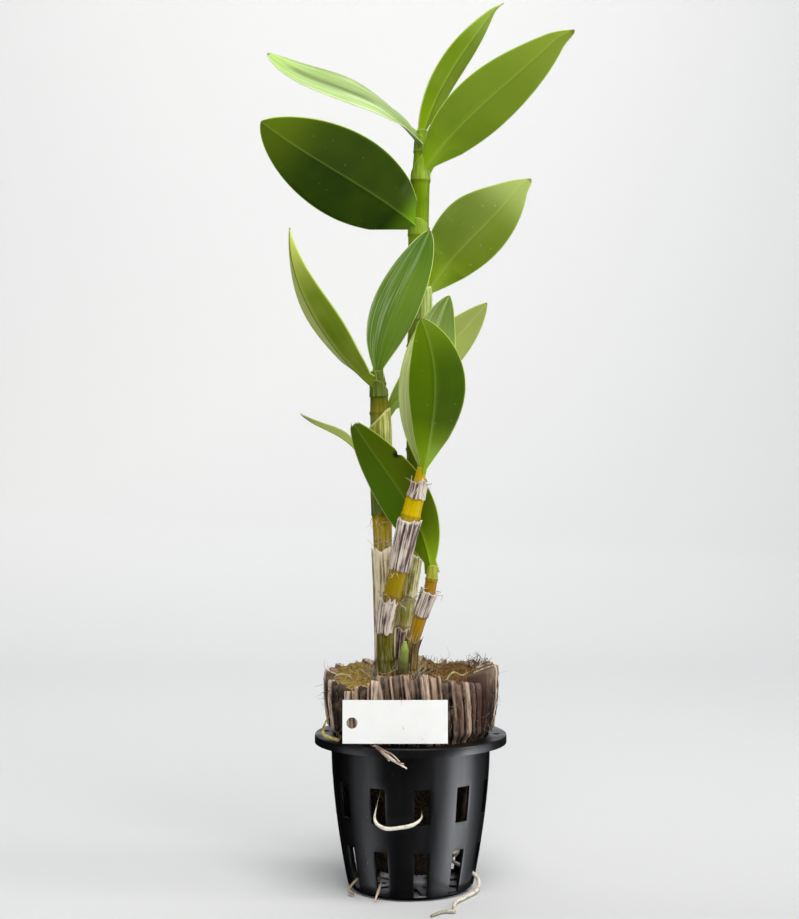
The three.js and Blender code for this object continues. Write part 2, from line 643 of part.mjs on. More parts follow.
function add(parent, name, geometry, material) {
  const mesh = new THREE.Mesh(geometry, material());
  mesh.name = name;
  parent.add(mesh);
  return mesh;
}

const pot = group('pot');
add(pot, 'net_pot', cut(potShell(), potOpenings()), potPlastic);

const medium = group('medium');
const rhizomeRoom = growth(RHIZOME, GAP);
const shootRoom = growth(NEW_SHOOT, GAP);
const rootRooms = Object.values(ROOTS).map((root) => growth(root, GAP));
add(medium, 'coir_core', cut(coreGeometry(), [...caneRooms, rhizomeRoom, shootRoom, ...rootRooms]), coir);
CHIPS.forEach((chip, i) => {
  add(medium, chip.name, cut(chipGeometry(chip, i + 1), rootRooms), husk);
});

const roots = group('roots');
add(roots, 'rhizome', cut(growth(RHIZOME), [...caneRooms, shootRoom]), rootSkin);
add(roots, 'new_shoot', growth(NEW_SHOOT), leafSkin);
for (const [name, root] of Object.entries(ROOTS)) {
  add(roots, name, growth(root), rootSkin);
}

for (const [name, cane] of Object.entries(CANES)) {
  const stem = group(`${name}_with_leaves`);
  add(stem, name, caneGeometry(cane), caneSkin);
  for (const [sheathName, sheath] of Object.entries(SHEATHS)) {
    if (sheath.on === name) {
      add(stem, sheathName, sheathGeometry(sheath), drySheath);
    }
  }
  const leafStart = name.replace('cane', 'leaf');
  for (const [leafName, leaf] of Object.entries(LEAVES)) {
    if (leafName.startsWith(leafStart)) {
      add(stem, leafName, cut(leafGeometry(leaf), caneRooms), leafSkin);
    }
  }
}

const card = add(plant, 'name_card', cardGeometry(), cardPaper);
card.position.set(CARD.left, CARD.front, CARD.bottom);
card.rotation.x = Math.PI / 2 - radians(CARD.lean);

export default plant;
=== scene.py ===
# %% [markdown]
# # A potted orchid in a slotted net pot
# Four jointed canes with twelve leathery leaves stand in husk and bark, in a black net pot with a
# plain name card. The frame below brings in the plain solids at their real place and size. Each
# chapter then makes one kind of piece finer than its solid, from the same driving numbers or
# close to them, and paints it. All lengths in the data are millimetres; meshes are scaled to metres
# at the end.

# %% Load the frame
import math
from functools import partial

import bmesh
import bpy
from mathutils import Matrix, Vector, noise


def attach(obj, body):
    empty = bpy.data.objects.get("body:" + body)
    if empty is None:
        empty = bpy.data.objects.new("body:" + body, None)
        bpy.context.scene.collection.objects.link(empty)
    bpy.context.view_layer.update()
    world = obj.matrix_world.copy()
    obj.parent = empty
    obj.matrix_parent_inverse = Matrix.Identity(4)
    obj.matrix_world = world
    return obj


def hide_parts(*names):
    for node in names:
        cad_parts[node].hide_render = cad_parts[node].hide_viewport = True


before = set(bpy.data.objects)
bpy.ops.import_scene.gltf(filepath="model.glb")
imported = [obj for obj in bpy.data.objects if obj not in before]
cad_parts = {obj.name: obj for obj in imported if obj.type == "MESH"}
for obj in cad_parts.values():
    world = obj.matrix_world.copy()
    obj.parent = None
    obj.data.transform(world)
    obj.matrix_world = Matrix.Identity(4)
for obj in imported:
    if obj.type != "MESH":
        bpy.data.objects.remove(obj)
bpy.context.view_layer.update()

# %% [markdown]
# ## The studio
# The real plant was photographed from straight in front, on a pale surface, with broad soft light
# from above and a little from the right. A sweep of pale card gives the floor and the background
# in one piece, with no horizon line. The camera stands as far off as the ellipses of the pot's rim
# and base say, about 85 cm, and looks level.

# %% Camera, and how anything is put into the scene
MM = 0.001
scene = bpy.context.scene


def put_in_scene(name, data, place=(0, 0, 0), turn=(0, 0, 0)):
    thing = bpy.data.objects.new(name, data)
    thing.location = place
    thing.rotation_euler = turn
    scene.collection.objects.link(thing)
    return thing


camera_data = bpy.data.cameras.new("camera")
camera_data.sensor_width = 36
camera_data.lens = 63.73
scene.camera = put_in_scene("camera", camera_data, (-0.0058, -0.850, 0.2226), (math.radians(90), 0, 0))
scene.view_settings.view_transform = "Standard"
print("camera", tuple(round(v, 3) for v in scene.camera.location))


# %% Colours as they look on a screen, turned to linear light
def paint(hex_code):
    shades = [int(hex_code[i:i + 2], 16) / 255 for i in (1, 3, 5)]
    return (*[s / 12.92 if s <= 0.04045 else ((s + 0.055) / 1.055) ** 2.4 for s in shades], 1)


# %% One function for nodes
# It adds a node with its settings and fills the inputs that are in use, in their order, and then
# the sockets given by name. A value is set, a hex code is painted, and another node's output is
# linked. What comes back is the first output in use, or the one that is named.
def add_node(material, kind, *inputs, stops=(), out=None, sockets=None, **settings):
    node = material.node_tree.nodes.new("ShaderNode" + kind)
    if kind == "Mix":  # every mix in this file is one of colours
        node.data_type = "RGBA"
    for name, value in settings.items():
        setattr(node, name, value)
    in_use = [socket for socket in node.inputs if socket.enabled]
    named = [(node.inputs[name], value) for name, value in (sockets or {}).items()]
    for socket, value in list(zip(in_use, inputs)) + named:
        if isinstance(value, bpy.types.NodeSocket):
            material.node_tree.links.new(value, socket)
        else:
            socket.default_value = paint(value) if isinstance(value, str) else value
    for i, (place, colour) in enumerate(stops):
        ramp = node.color_ramp.elements
        stop = ramp[i] if i < 2 else ramp.new(place)
        stop.position = place
        stop.color = paint(colour) if isinstance(colour, str) else colour
    return node.outputs[out] if out else next((o for o in node.outputs if o.enabled), None)


# %% A finish starts as an empty material, with its own short form of add_node, and ends with its
# surface shader. Relief is a height, how strongly it shows, and its depth in metres.
def new_finish(name):
    material = bpy.data.materials.new(name)
    material.use_nodes = True
    material.node_tree.nodes.clear()
    return material, partial(add_node, material)


def end_finish(material, sockets, relief=None):
    if relief:
        bump = dict(zip(("Height", "Strength", "Distance"), relief))
        sockets["Normal"] = add_node(material, "Bump", sockets=bump)
    surface = add_node(material, "BsdfPrincipled", sockets=sockets)
    add_node(material, "OutputMaterial", surface)
    return material


# %% Turn a bmesh into an object with one finish
def new_object(name, bm, finish, smooth=True):
    mesh = bpy.data.meshes.new(name)
    bm.to_mesh(mesh)
    bm.free()
    mesh.materials.append(finish)
    if smooth:
        mesh.shade_smooth()
    return put_in_scene(name, mesh)


# %% The backdrop card's paint, with painted shade: darker near the camera and to the right, lighter towards the back and upwards
matt_card, node = new_finish("matt_white_card_with_painted_shade")
grain = node("TexNoise", sockets={"Scale": 3.0, "Detail": 1.0})
away = node("VectorMath", node("TexCoord", out="Object"), (-0.5, 1, 0.2), operation="DOT_PRODUCT")
# painted shade: a ramp from darker near the camera and to the right, to lighter at the back and higher up
shade = node("ValToRGB", node("MapRange", away, -0.2, 1.6),
             stops=[(0, "#c8cacd"), (0.13, "#d7d9dc"), (0.5, "#e7e9ec"), (0.8, "#f1f3f6"), (1, "#fcfdff")])
fleck = node("Mix", grain, shade, "#f6f6f6", blend_type="MULTIPLY")
end_finish(matt_card, {"Base Color": fleck, "Roughness": 0.9})


# %% Floor and backdrop: an edge drawn back, turned up through a quarter circle, and drawn up
def draw_out(bm, edges, way):
    made = bmesh.ops.extrude_edge_only(bm, edges=edges)["geom"]
    bmesh.ops.translate(bm, vec=way, verts=[v for v in made if isinstance(v, bmesh.types.BMVert)])
    return [e for e in made if isinstance(e, bmesh.types.BMEdge)]


bm = bmesh.new()
near_edge = bm.edges.new([bm.verts.new((side * 2.5, -1.6, 0)) for side in (-1, 1)])
far_edge = [e for e in draw_out(bm, [near_edge], (0, 2.5, 0)) if all(v.co.y > 0.5 for v in e.verts)]
made = bmesh.ops.spin(bm, geom=far_edge, cent=(0, 0.9, 0.6), axis=(1, 0, 0), angle=math.pi / 2, steps=16)
draw_out(bm, [e for e in made["geom_last"] if isinstance(e, bmesh.types.BMEdge)], (0, 0, 2.2))
backdrop = new_object("backdrop", bm, matt_card)
backdrop.visible_glossy = backdrop.visible_shadow = False
print("backdrop reaches", [round(max(v.co[i] for v in backdrop.data.vertices), 2) for i in range(3)])

# %% Lamps: place, aim, size, watts. Those called sheen are seen only as reflections in smooth skins.
LAMPS = {
    "overhead": ((0.2, -0.65, 1.25), (0, 0, 0.22), (0.9, 0.7), 15.5),
    "right_side": ((1.2, -0.3, 0.55), (0, 0, 0.25), (0.4, 0.8), 7.0),
    "left_side": ((-1.0, -0.8, 0.6), (0, 0, 0.25), (0.5, 0.8), 1.6),
    "backdrop_wash": ((-0.1, 0.25, 1.5), (-0.3, 1.5, 0.6), (1.4, 0.4), 8.0),
    "low_sheen": ((0.85, -0.2, -0.34), (0, 0, 0.05), (0.6, 0.7), 9.0),
    "low_left_sheen": ((-0.85, -0.35, -0.34), (0, 0, 0.05), (0.5, 0.7), 2.2),
    "back_sheen": ((0.1, 1.2, 0.35), (0, 0, 0.05), (1.8, 0.5), 2.6),
}
for name, (place, aim, size, watts) in LAMPS.items():
    lamp = bpy.data.lights.new(name, "AREA")
    lamp.shape = "RECTANGLE"
    lamp.size, lamp.size_y = size
    lamp.energy = watts
    lamp.color = paint("#f6f8ff" if name.endswith("sheen") else "#fffdf8")[:3]
    turn = (Vector(aim) - Vector(place)).to_track_quat("-Z", "Y").to_euler()
    holder = put_in_scene(name, lamp, place, turn)
    if name.endswith("sheen"):
        holder.visible_camera = holder.visible_diffuse = False
print("lamps:", ", ".join(LAMPS))

# %% The room: a little even light from all round, which smooth skins don't mirror
world = bpy.data.worlds.new("room")
world.use_nodes = True
world.node_tree.nodes["Background"].inputs["Color"].default_value = paint("#f5f6f6")
world.node_tree.nodes["Background"].inputs["Strength"].default_value = 0.3
world.cycles_visibility.glossy = False
scene.world = world

# %% [markdown]
# ## Helpers for grown shapes
# Nearly every piece of a plant is a round or flat form that has been bent: a cane, a root, a leaf.
# So a piece is first made straight by an operator, as a capped cylinder or a thin plate, and each
# of its points is then moved by a rule. The straight place of each point is kept as an attribute,
# so that a material's streaks and veins follow the bent form, with no seam.


# %% Small sums
def lerp(start, end, share):
    return start + (end - start) * share


def value_at(pairs, place):
    if place <= pairs[0][0]:
        return pairs[0][1]
    for (low, start), (high, end) in zip(pairs, pairs[1:]):
        if place <= high:
            return lerp(start, end, (place - low) / (high - low))
    return pairs[-1][1]


def scatter(seed):
    wave = math.sin(seed * 127.1 + 11.7) * 43758.5453
    return 2 * (wave - math.floor(wave)) - 1


def hump(distance, width):
    return math.exp(-((distance / width) ** 2))


# %% A point round the pot, by its angle in radians from the front towards +X
def round_pot(angle, radius, height):
    return (math.sin(angle) * radius, -math.cos(angle) * radius, height)


# %% A rough figure for a point: near 1 or -1 at the strongest, the same at every run
def roughness_at(point, scale, octaves=3):
    return noise.fractal(Vector(point) * scale, 0.9, 2.2, octaves)


# %% A capped cylinder, one unit in radius, from z = 0 to 1
def straight_rod(sides, steps):
    bm = bmesh.new()
    bmesh.ops.create_cone(bm, cap_ends=True, cap_tris=True, segments=sides, radius1=1, radius2=1,
                          depth=1, matrix=Matrix.Translation((0, 0, 0.5)))
    upright = [e for e in bm.edges if abs(e.verts[0].co.z - e.verts[1].co.z) > 0.5]
    bmesh.ops.subdivide_edges(bm, edges=upright, cuts=steps - 1)
    return bm


# %% A thin plate: x from -1 to 1 across, y from 0 to 1 along, z from -1 to 1 through it
def straight_plate(columns, rows, layers=1):
    bm = bmesh.new()
    bmesh.ops.create_cube(bm, size=2)
    for axis, cuts in ((0, columns - 1), (1, rows - 1), (2, layers - 1)):
        if not cuts:
            continue
        edges = [e for e in bm.edges if abs(e.verts[0].co[axis] - e.verts[1].co[axis]) > 1.9]
        bmesh.ops.subdivide_edges(bm, edges=edges, cuts=cuts, use_grid_fill=True)
    bmesh.ops.translate(bm, vec=(0, 1, 0), verts=bm.verts)
    bmesh.ops.scale(bm, vec=(1, 0.5, 1), verts=bm.verts)
    return bm


# %% Bend a straight form: the rule gives each point's new place and what its attributes hold
def bend(bm, rule):
    straight = bm.verts.layers.float_vector.get("straight") or bm.verts.layers.float_vector.new("straight")
    mark = bm.verts.layers.float.get("mark") or bm.verts.layers.float.new("mark")
    for vert in bm.verts:
        place, grain, tone = rule(vert.co.copy())
        vert.co = place
        vert[straight] = grain
        vert[mark] = tone
    return bm


# %% Turn a profile, given as radius and height, into a round sheet
def turned(profile, steps, cuts=0):
    bm = bmesh.new()
    points = [bm.verts.new((radius, 0, height)) for radius, height in profile]
    edges = [bm.edges.new(pair) for pair in zip(points, points[1:])]
    if cuts:
        bmesh.ops.subdivide_edges(bm, edges=edges, cuts=cuts)
    bmesh.ops.spin(bm, geom=bm.verts[:] + bm.edges[:], cent=(0, 0, 0), axis=(0, 0, 1), angle=2 * math.pi,
                   steps=steps, use_merge=True)
    bmesh.ops.remove_doubles(bm, verts=bm.verts, dist=0.001)
    return bm


# %% Turn a finished bmesh into a piece of the model, and a sheet's piece into a thick one
def make_piece(name, bm, finish, slot, replaces=(), smooth=True):
    bmesh.ops.scale(bm, vec=(MM, MM, MM), verts=bm.verts)
    piece = new_object(name, bm, finish, smooth)
    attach(piece, "root")
    if replaces:
        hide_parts(*replaces)
    print(name, "has", len(piece.data.polygons), "faces")
    return piece


def thicken(piece, wall, offset):
    thick = piece.modifiers.new("thickness", "SOLIDIFY")
    thick.thickness = wall * MM
    thick.offset = offset
    return thick


# %% [markdown]
# ## The net pot
# The pot is one moulding of black polypropylene, a little over a millimetre thick: a wall that
# tapers in a slight curve, two rows of eleven windows, a flat rim with a turned-down lip, and a
# base disc with drain slots. A turned sheet gives all of it. The inner and upper face is drawn as a
# profile and spun, the faces in the windows, slots and holes are taken out, and a Solidify
# modifier gives the sheet its thickness. So every window has a real wall round it.

# %% The pot's sizes
POT_HEIGHT = 80
POT_WALL = 1.3
FOOT_RADIUS, WALL_FLARE, NECK_HEIGHT, WALL_CURVE = 32.3, 8.9, 71, 1.6
SOLID_WALL = 1.2  # of the plain solid, from whose outside these radii are taken
WINDOWS = 11
FIRST_WINDOW = 8  # degrees from the front towards +X
WALL_TOP = 78.6  # where the wall meets the rim
STEPS_PER_WINDOW = 14  # of the spin, five of them open
OPEN_STEPS = 5
UPPER_WINDOW, LOWER_WINDOW = (40, 58), (3.2, 25.5)
DRAIN_SLOT = (13, 26)
HANGER_HOLES, HANGER_AT, HANGER_RADIUS, FIRST_HANGER = 4, 44.6, 1.9, 84


def inner_wall(height):
    share = 1 - min(height, NECK_HEIGHT) / NECK_HEIGHT
    return FOOT_RADIUS + WALL_FLARE * (1 - share ** WALL_CURVE) - SOLID_WALL


# %% Spin the profile: the floor, the wall, and the rim with its lip
profile = [(r, POT_WALL) for r in (0, 7, 13, 20, 26, 28.4)] + [(30.2, 1.9), (inner_wall(3.2) - 0.15, 3.2)]
profile += [(inner_wall(h), h) for h in (8, 13, 18, 22, 25.5, 30, 35, 40, 46, 52, 58, 62, 66, 71, 75)]
profile += [(40.0, WALL_TOP)] + [(r, POT_HEIGHT) for r in (40.9, 42.6, 43.6, 44.6, 45.6, 46.6, 49.2)]
profile += [(49.85, 79.7), (50, 79.0), (50, 75.6)]
steps = WINDOWS * STEPS_PER_WINDOW
bm = turned(profile, steps)
# the middle of a window falls on the middle of a step
start = math.radians(FIRST_WINDOW - 90 + 180 / steps)
bmesh.ops.rotate(bm, cent=(0, 0, 0), matrix=Matrix.Rotation(start, 3, "Z"), verts=bm.verts)
# the sheet's faces look in and up, and its thickness grows outwards and down
rim_face = max(bm.faces, key=lambda f: f.calc_center_median().z)
if rim_face.normal.z < 0:
    bmesh.ops.reverse_faces(bm, faces=bm.faces)
print("spun sheet:", len(bm.faces), "faces")


# %% Open the windows, the drain slots and the hanger holes
def steps_off_window(point):
    angle = math.degrees(math.atan2(point.x, -point.y)) - FIRST_WINDOW
    pitch = 360 / WINDOWS
    return abs(math.remainder(angle, pitch)) / (pitch / STEPS_PER_WINDOW)


# A round hole: the faces inside it go, and the edge left behind is drawn to the circle
def punch(bm, middle, radius):
    hole = [f for f in bm.faces if (f.calc_center_median() - middle).length < radius]
    edge_points = {v for f in hole for v in f.verts if any(g not in hole for g in v.link_faces)}
    bmesh.ops.delete(bm, geom=hole, context="FACES")
    for vert in edge_points:
        vert.co = middle + (vert.co - middle).normalized() * radius


def is_open(face):
    middle = face.calc_center_median()
    radius = math.hypot(middle.x, middle.y)
    in_row = any(low < middle.z < high for low, high in (UPPER_WINDOW, LOWER_WINDOW))
    in_slot = middle.z < 1.5 and DRAIN_SLOT[0] < radius < DRAIN_SLOT[1]
    return (in_row or in_slot) and steps_off_window(middle) < OPEN_STEPS / 2


bmesh.ops.delete(bm, geom=[face for face in bm.faces if is_open(face)], context="FACES")
for i in range(HANGER_HOLES):
    angle = math.radians(FIRST_HANGER + 360 / HANGER_HOLES * i)
    punch(bm, Vector(round_pot(angle, HANGER_AT, POT_HEIGHT)), HANGER_RADIUS)
bmesh.ops.delete(bm, geom=[v for v in bm.verts if not v.link_faces], context="VERTS")
print("after the openings:", len(bm.faces), "faces")

# %% [markdown]
# ### Moulded polypropylene
# Black polypropylene from a polished mould is satin, not glossy: it keeps soft vertical bands of
# reflected light on its wall and a lighter sheen on its flat rim. Used in a greenhouse, it carries
# pale dust. Slow upright bands vary the roughness, a faint grain breaks the sheen, and sparse
# specks are the dust.

# %% Black polypropylene
pot_plastic, node = new_finish("satin_black_polypropylene")
place = node("TexCoord", out="Object")
bands = node("TexNoise", node("Mapping", place, sockets={"Scale": (90, 90, 8)}), 1.0, 3.0)
rough = node("MapRange", bands, 0.35, 0.65, 0.3, 0.46)
# dust lies in specks about 0.6 mm across, a few to the square centimetre
cells = node("TexVoronoi", place, 420.0)
speck = node("MapRange", node("TexNoise", place, 60.0, 2.0), 0.52, 0.75, 0.0, 0.15)
dusty = node("Mix", node("Math", cells, speck, operation="LESS_THAN"), "#0b0c0f", "#5c5a55")
end_finish(pot_plastic, {"Base Color": dusty, "Roughness": rough, "IOR": 1.49, "Specular IOR Level": 0.5},
           relief=(node("TexNoise", place, 1500.0, 2.0), 0.08, 0.0002))

# %% The pot as a piece
pot = make_piece("net_pot_moulding", bm, pot_plastic, "net_pot", replaces=["net_pot"])
thicken(pot, POT_WALL, -1).use_even_offset = True
soft_edges = pot.modifiers.new("soft_edges", "BEVEL")
soft_edges.width = 0.22 * MM
soft_edges.segments = 2
soft_edges.limit_method = "ANGLE"
soft_edges.angle_limit = math.radians(50)

# %% [markdown]
# ## The canes
# A cane is a jointed stem. Each internode is slightly waisted, and at each node a ring marks where
# a leaf was borne. The cane bends from node to node. A straight rod with many rings is moved onto
# the cane's middle line, which passes through the same points as its solid, and every ring swells
# a little at the nodes. The "mark" attribute is 1 on a ring, for the brown scar that it carries.

# %% The canes' middle lines, radii and rings
CANES = {
    "cane_tall": dict(
        line=[(-6.6, 12, 104), (-4, 13, 132), (-1.2, 14.5, 154), (1.4, 16, 175), (3, 18, 212),
              (3.6, 19, 254), (3.9, 19, 285), (5.6, 18.6, 306), (4.2, 18, 330), (5.4, 16, 372), (6, 15, 396)],
        radius=[(104, 4.4), (130, 4.7), (160, 4.5), (200, 5), (240, 5.6), (310, 5.7), (350, 5.4),
                (372, 5), (390, 3.6), (396, 2.6)],
        rings=[116, 134, 148, 162, 176, 201, 228, 256, 283, 311, 342, 371, 386]),
    "cane_left": dict(
        line=[(-13.6, 2, 104), (-13.4, 2, 128), (-13.9, 1.6, 149), (-14.5, 1, 175), (-15.2, 0.4, 205),
              (-15.8, 0, 240), (-17, -1, 262), (-18, -1.6, 269)],
        radius=[(104, 4.6), (125, 4.9), (170, 4.8), (195, 5.3), (235, 5.6), (255, 4.8), (269, 3)],
        rings=[118, 136, 164, 194, 222, 247, 262]),
    "cane_front": dict(
        line=[(-11.6, -12, 104), (-13, -14, 130), (-11.7, -16, 144), (-7.3, -18, 161), (-3.3, -21, 180),
              (1.3, -23, 199.5), (4.1, -25, 210), (5.2, -26, 219)],
        radius=[(104, 4.3), (130, 4.6), (150, 4.6), (165, 4.9), (190, 4.9), (202, 4.8), (210, 3.4), (219, 2)],
        rings=[120, 137, 153, 168, 194, 206]),
    "cane_short": dict(
        line=[(-1.4, -7.4, 104), (-0.4, -8, 114), (0.6, -9, 126), (3.4, -10, 136), (6, -11, 145),
              (8.6, -12, 152), (10.4, -13, 159), (11.4, -13, 168)],
        radius=[(104, 3), (125, 3.2), (140, 3.6), (152, 3.5), (160, 3), (168, 2)],
        rings=[113, 129, 143, 153, 161]),
}


# %% Where a cane's middle is at a height, and a point beside it
def smooth_step(points, i, u, k):
    before, a, b, after = points[max(i - 1, 0)], points[i], points[i + 1], points[min(i + 2, len(points) - 1)]
    span = b[2] - a[2]
    start = (b[k] - before[k]) / (b[2] - before[2]) * span
    end = (after[k] - a[k]) / (after[2] - a[2]) * span
    value = ((2 * u**3 - 3 * u**2 + 1) * a[k] + (u**3 - 2 * u**2 + u) * start
             + (3 * u**2 - 2 * u**3) * b[k] + (u**3 - u**2) * end)
    slope = ((6 * u**2 - 6 * u) * a[k] + (3 * u**2 - 4 * u + 1) * start
             + (6 * u - 6 * u**2) * b[k] + (3 * u**2 - 2 * u) * end) / span
    return value, slope


def beside_cane(cane, height, angle, radius):
    points = cane["line"]
    i = max(k for k in range(len(points) - 1) if k == 0 or height > points[k][2])
    u = (height - points[i][2]) / (points[i + 1][2] - points[i][2])
    (x, lean_x), (y, lean_y) = smooth_step(points, i, u, 0), smooth_step(points, i, u, 1)
    along = Vector((lean_x, lean_y, 1)).normalized()
    right = (Vector((1, 0, 0)) - along * along.x).normalized()
    front = right.cross(along)
    return Vector((x, y, height)) + (right * math.cos(angle) + front * math.sin(angle)) * radius


# %% Bend a rod into a cane
def cane_mesh(cane, sides=28):
    bottom, top = cane["line"][0][2], cane["line"][-1][2]
    seed = len(cane["rings"])

    def rule(p):
        height = lerp(bottom, top, p.z)
        ring = max(hump(height - r, 0.75) for r in cane["rings"])
        waist = min(abs(height - r) for r in cane["rings"])
        angle = math.atan2(p.y, p.x)
        ripple = 0.05 * math.sin(angle * 9 + seed) + 0.04 * math.sin(angle * 17 + height * 0.05)
        radius = value_at(cane["radius"], height) + 0.5 * ring - 0.02 * min(waist, 8) + ripple
        point = beside_cane(cane, height, angle, math.hypot(p.x, p.y) * radius)
        return point, (5 * math.cos(angle), 5 * math.sin(angle), height), ring

    return bend(straight_rod(sides, int(top - bottom)), rule)


# %% [markdown]
# ### The skin of a cane
# A growing internode is waxy and olive green. It ripens through straw yellow to amber, and the
# oldest, at the foot, turn brown and fibrous. So each cane's colour runs with its height, blurred a
# little so that no line shows, and fine streaks follow its length. The rings are brown scars. The
# wax gives a broad soft highlight, so the roughness is middling with a thin coat.


# %% Paint for a cane: its colours, and how many pale rags of old sheath it carries, by height
def cane_finish(name, colours, rags):
    skin, node = new_finish(name)
    straight = node("Attribute", out="Vector", attribute_name="straight")
    height = node("SeparateXYZ", straight, out="Z")
    # the skin's height is shifted by up to 2.5 mm either way, so its colours don't change in a line
    shift = node("Math", node("TexNoise", straight, 0.35, 3.0), 5.0, -2.5, operation="MULTIPLY_ADD")
    shifted = node("Math", height, shift, operation="ADD")
    ramps = []
    for value, levels in ((shifted, colours), (height, [(h, (a, a, a, 1)) for h, a in rags])):
        low, high = levels[0][0], levels[-1][0]
        ramps.append(node("ValToRGB", node("MapRange", value, low, high),
                          stops=[((h - low) / (high - low), colour) for h, colour in levels]))
    body, amount = ramps
    # streaks are about 0.4 mm wide and many millimetres long
    streak = node("TexNoise", node("Mapping", straight, sockets={"Scale": (1.0, 1.0, 0.03)}), 1.3, 4.0)
    tone = node("ValToRGB", streak, stops=[(0.3, "#a8a488"), (0.5, "#e4e2d6"), (0.72, "#ffffff")])
    streaked = node("Mix", 0.55, body, tone, blend_type="MULTIPLY")
    # the rags of a rotted sheath: long pale threads, only at the heights where some are left
    thread = node("TexNoise", node("Mapping", straight, sockets={"Scale": (1.0, 1.0, 0.1)}), 0.9, 6.0, 0.65,
                  sockets={"Distortion": 0.6})
    rag = node("Math", node("MapRange", thread, 0.5, 0.58), amount, operation="MULTIPLY")
    ragged = node("Mix", rag, streaked, "#ded5bd")
    scar = node("Math", node("Attribute", out="Fac", attribute_name="mark"), 0.5, operation="MULTIPLY")
    ringed = node("Mix", scar, ragged, "#5d4a1c")
    return end_finish(skin, {"Base Color": ringed, "Coat Weight": 0.03, "Coat Roughness": 0.3, "IOR": 1.45,
                             "Specular IOR Level": 0.12, "Roughness": 0.42, "Specular Tint": "#f2eaa0"},
                      relief=(streak, 0.25, 0.0003))


# %% The four canes
CANE_COLOURS = {
    "cane_tall": [(104, "#8b8248"), (134, "#b5a968"), (141, "#8f9030"), (150, "#c9bf86"), (160, "#a39a40"),
                  (176, "#8a8c22"), (200, "#6b7a12"), (232, "#667a0c"), (256, "#748a14"), (283, "#82981c"),
                  (300, "#a3b556"), (316, "#93aa3a"), (330, "#779412"), (345, "#86a01c"), (360, "#67880a"),
                  (374, "#7c9a12"), (396, "#86a812")],
    "cane_left": [(104, "#8a8468"), (125, "#a09a7c"), (150, "#a8a078"), (172, "#a38c24"), (182, "#a88c04"),
                  (191, "#b39c08"), (195, "#5f6b08"), (212, "#556408"), (224, "#5c6a0a"), (236, "#8c9440"),
                  (246, "#868f2e"), (251, "#7a7420"), (255, "#5f6a10"), (269, "#6d7d10")],
    "cane_front": [(104, "#6b6522"), (122, "#5d5a0c"), (136, "#6a6110"), (140, "#8a6a20"), (152, "#94760c"),
                   (157, "#a08a08"), (167, "#a89010"), (180, "#a39270"), (190, "#b8a04a"), (194, "#dcbe00"),
                   (205, "#d6b600"), (210, "#c8a840"), (214, "#caa40c"), (219, "#b0a41c")],
    "cane_short": [(104, "#8f8a50"), (118, "#8a7030"), (130, "#8f7208"), (136, "#b08404"), (143, "#bc940a"),
                   (150, "#b39c70"), (155, "#a3740c"), (161, "#b08410"), (163, "#a8ad1c"), (168, "#a3b51c")],
}
RAGS = {
    "cane_tall": [(104, 0.7), (135, 0.4), (150, 0.5), (172, 0.7), (182, 0.3), (195, 0.0), (396, 0.0)],
    "cane_left": [(104, 0.7), (172, 0.6), (184, 0.25), (192, 0.0), (269, 0.0)],
    "cane_front": [(104, 0.25), (134, 0.1), (138, 0.6), (150, 0.5), (154, 0.0), (219, 0.0)],
    "cane_short": [(104, 0.8), (128, 0.6), (134, 0.1), (141, 0.1), (152, 0.3), (158, 0.0), (168, 0.0)],
}
for name, cane in CANES.items():
    finish = cane_finish("waxy_skin_of_" + name, CANE_COLOURS[name], RAGS[name])
    make_piece(name + "_stem", cane_mesh(cane), finish, "cane", replaces=[name])

# %% [markdown]
# ## Sheaths
# Each leaf grows from a sheath: a sleeve that starts at a node and hugs the cane above it. On the
# young parts the sleeves are green and tight, with a pale edge. On the old parts they have dried to
# torn grey paper with purple-brown streaks. Both are a thin plate wrapped round the cane. The upper
# edge is cut by a rule: slanted on a green sleeve, ragged on a dry one.


# %% Wrap a plate round a cane. "hug" is its distance from the cane at the foot, "flare" more at the top.
def wrapped(cane, low, high, face, arc, hug, flare, paper, tear, slant=0.0, seed=1.0, rows=26):
    def rule(p):
        across = -p.x
        ragged = 1.2 * roughness_at((across * 1.6 + seed, seed, 0), 1.0)
        ragged += 0.3 * roughness_at((across * 7, seed, 4), 1.0)
        wisp = sum((0.6 + 0.4 * scatter(k)) * hump(across - scatter(seed + k), 0.03 + 0.03 * (k % 2))
                   for k in range(4))
        top = high + tear * (0.7 * ragged + 0.5 * wisp) + slant * math.cos(across * math.pi)
        bottom = low + 0.3 * tear * roughness_at((across * 4, seed, 9), 1.0)
        height = lerp(bottom, top, p.y)
        wrinkle = 0.16 * tear**0.5 * roughness_at((across * arc * 0.018, height * 0.08, seed), 1.0)
        lift = hug + flare * p.y**2 * (1 + 0.6 * roughness_at((across * 3, seed, 2), 1.0))
        lift += wrinkle * p.y**0.3
        radius = value_at(cane["radius"], height) + max(lift, 0.12) + paper * p.z / 2
        angle = math.radians(face + across * arc / 2)
        return beside_cane(cane, height, angle, radius), (across * arc / 2, height, p.z), p.y

    return bend(straight_plate(84, rows), rule)


# %% [markdown]
# ### Dry paper and green sleeve
# A dried sheath is a skeleton of long fibres with thin pale skin between them. Stripes about a
# millimetre apart run along it, white and purple-brown, and it is matt. A green sleeve has the same
# ribs, but waxy, and bleaches to a pale line at its rim.


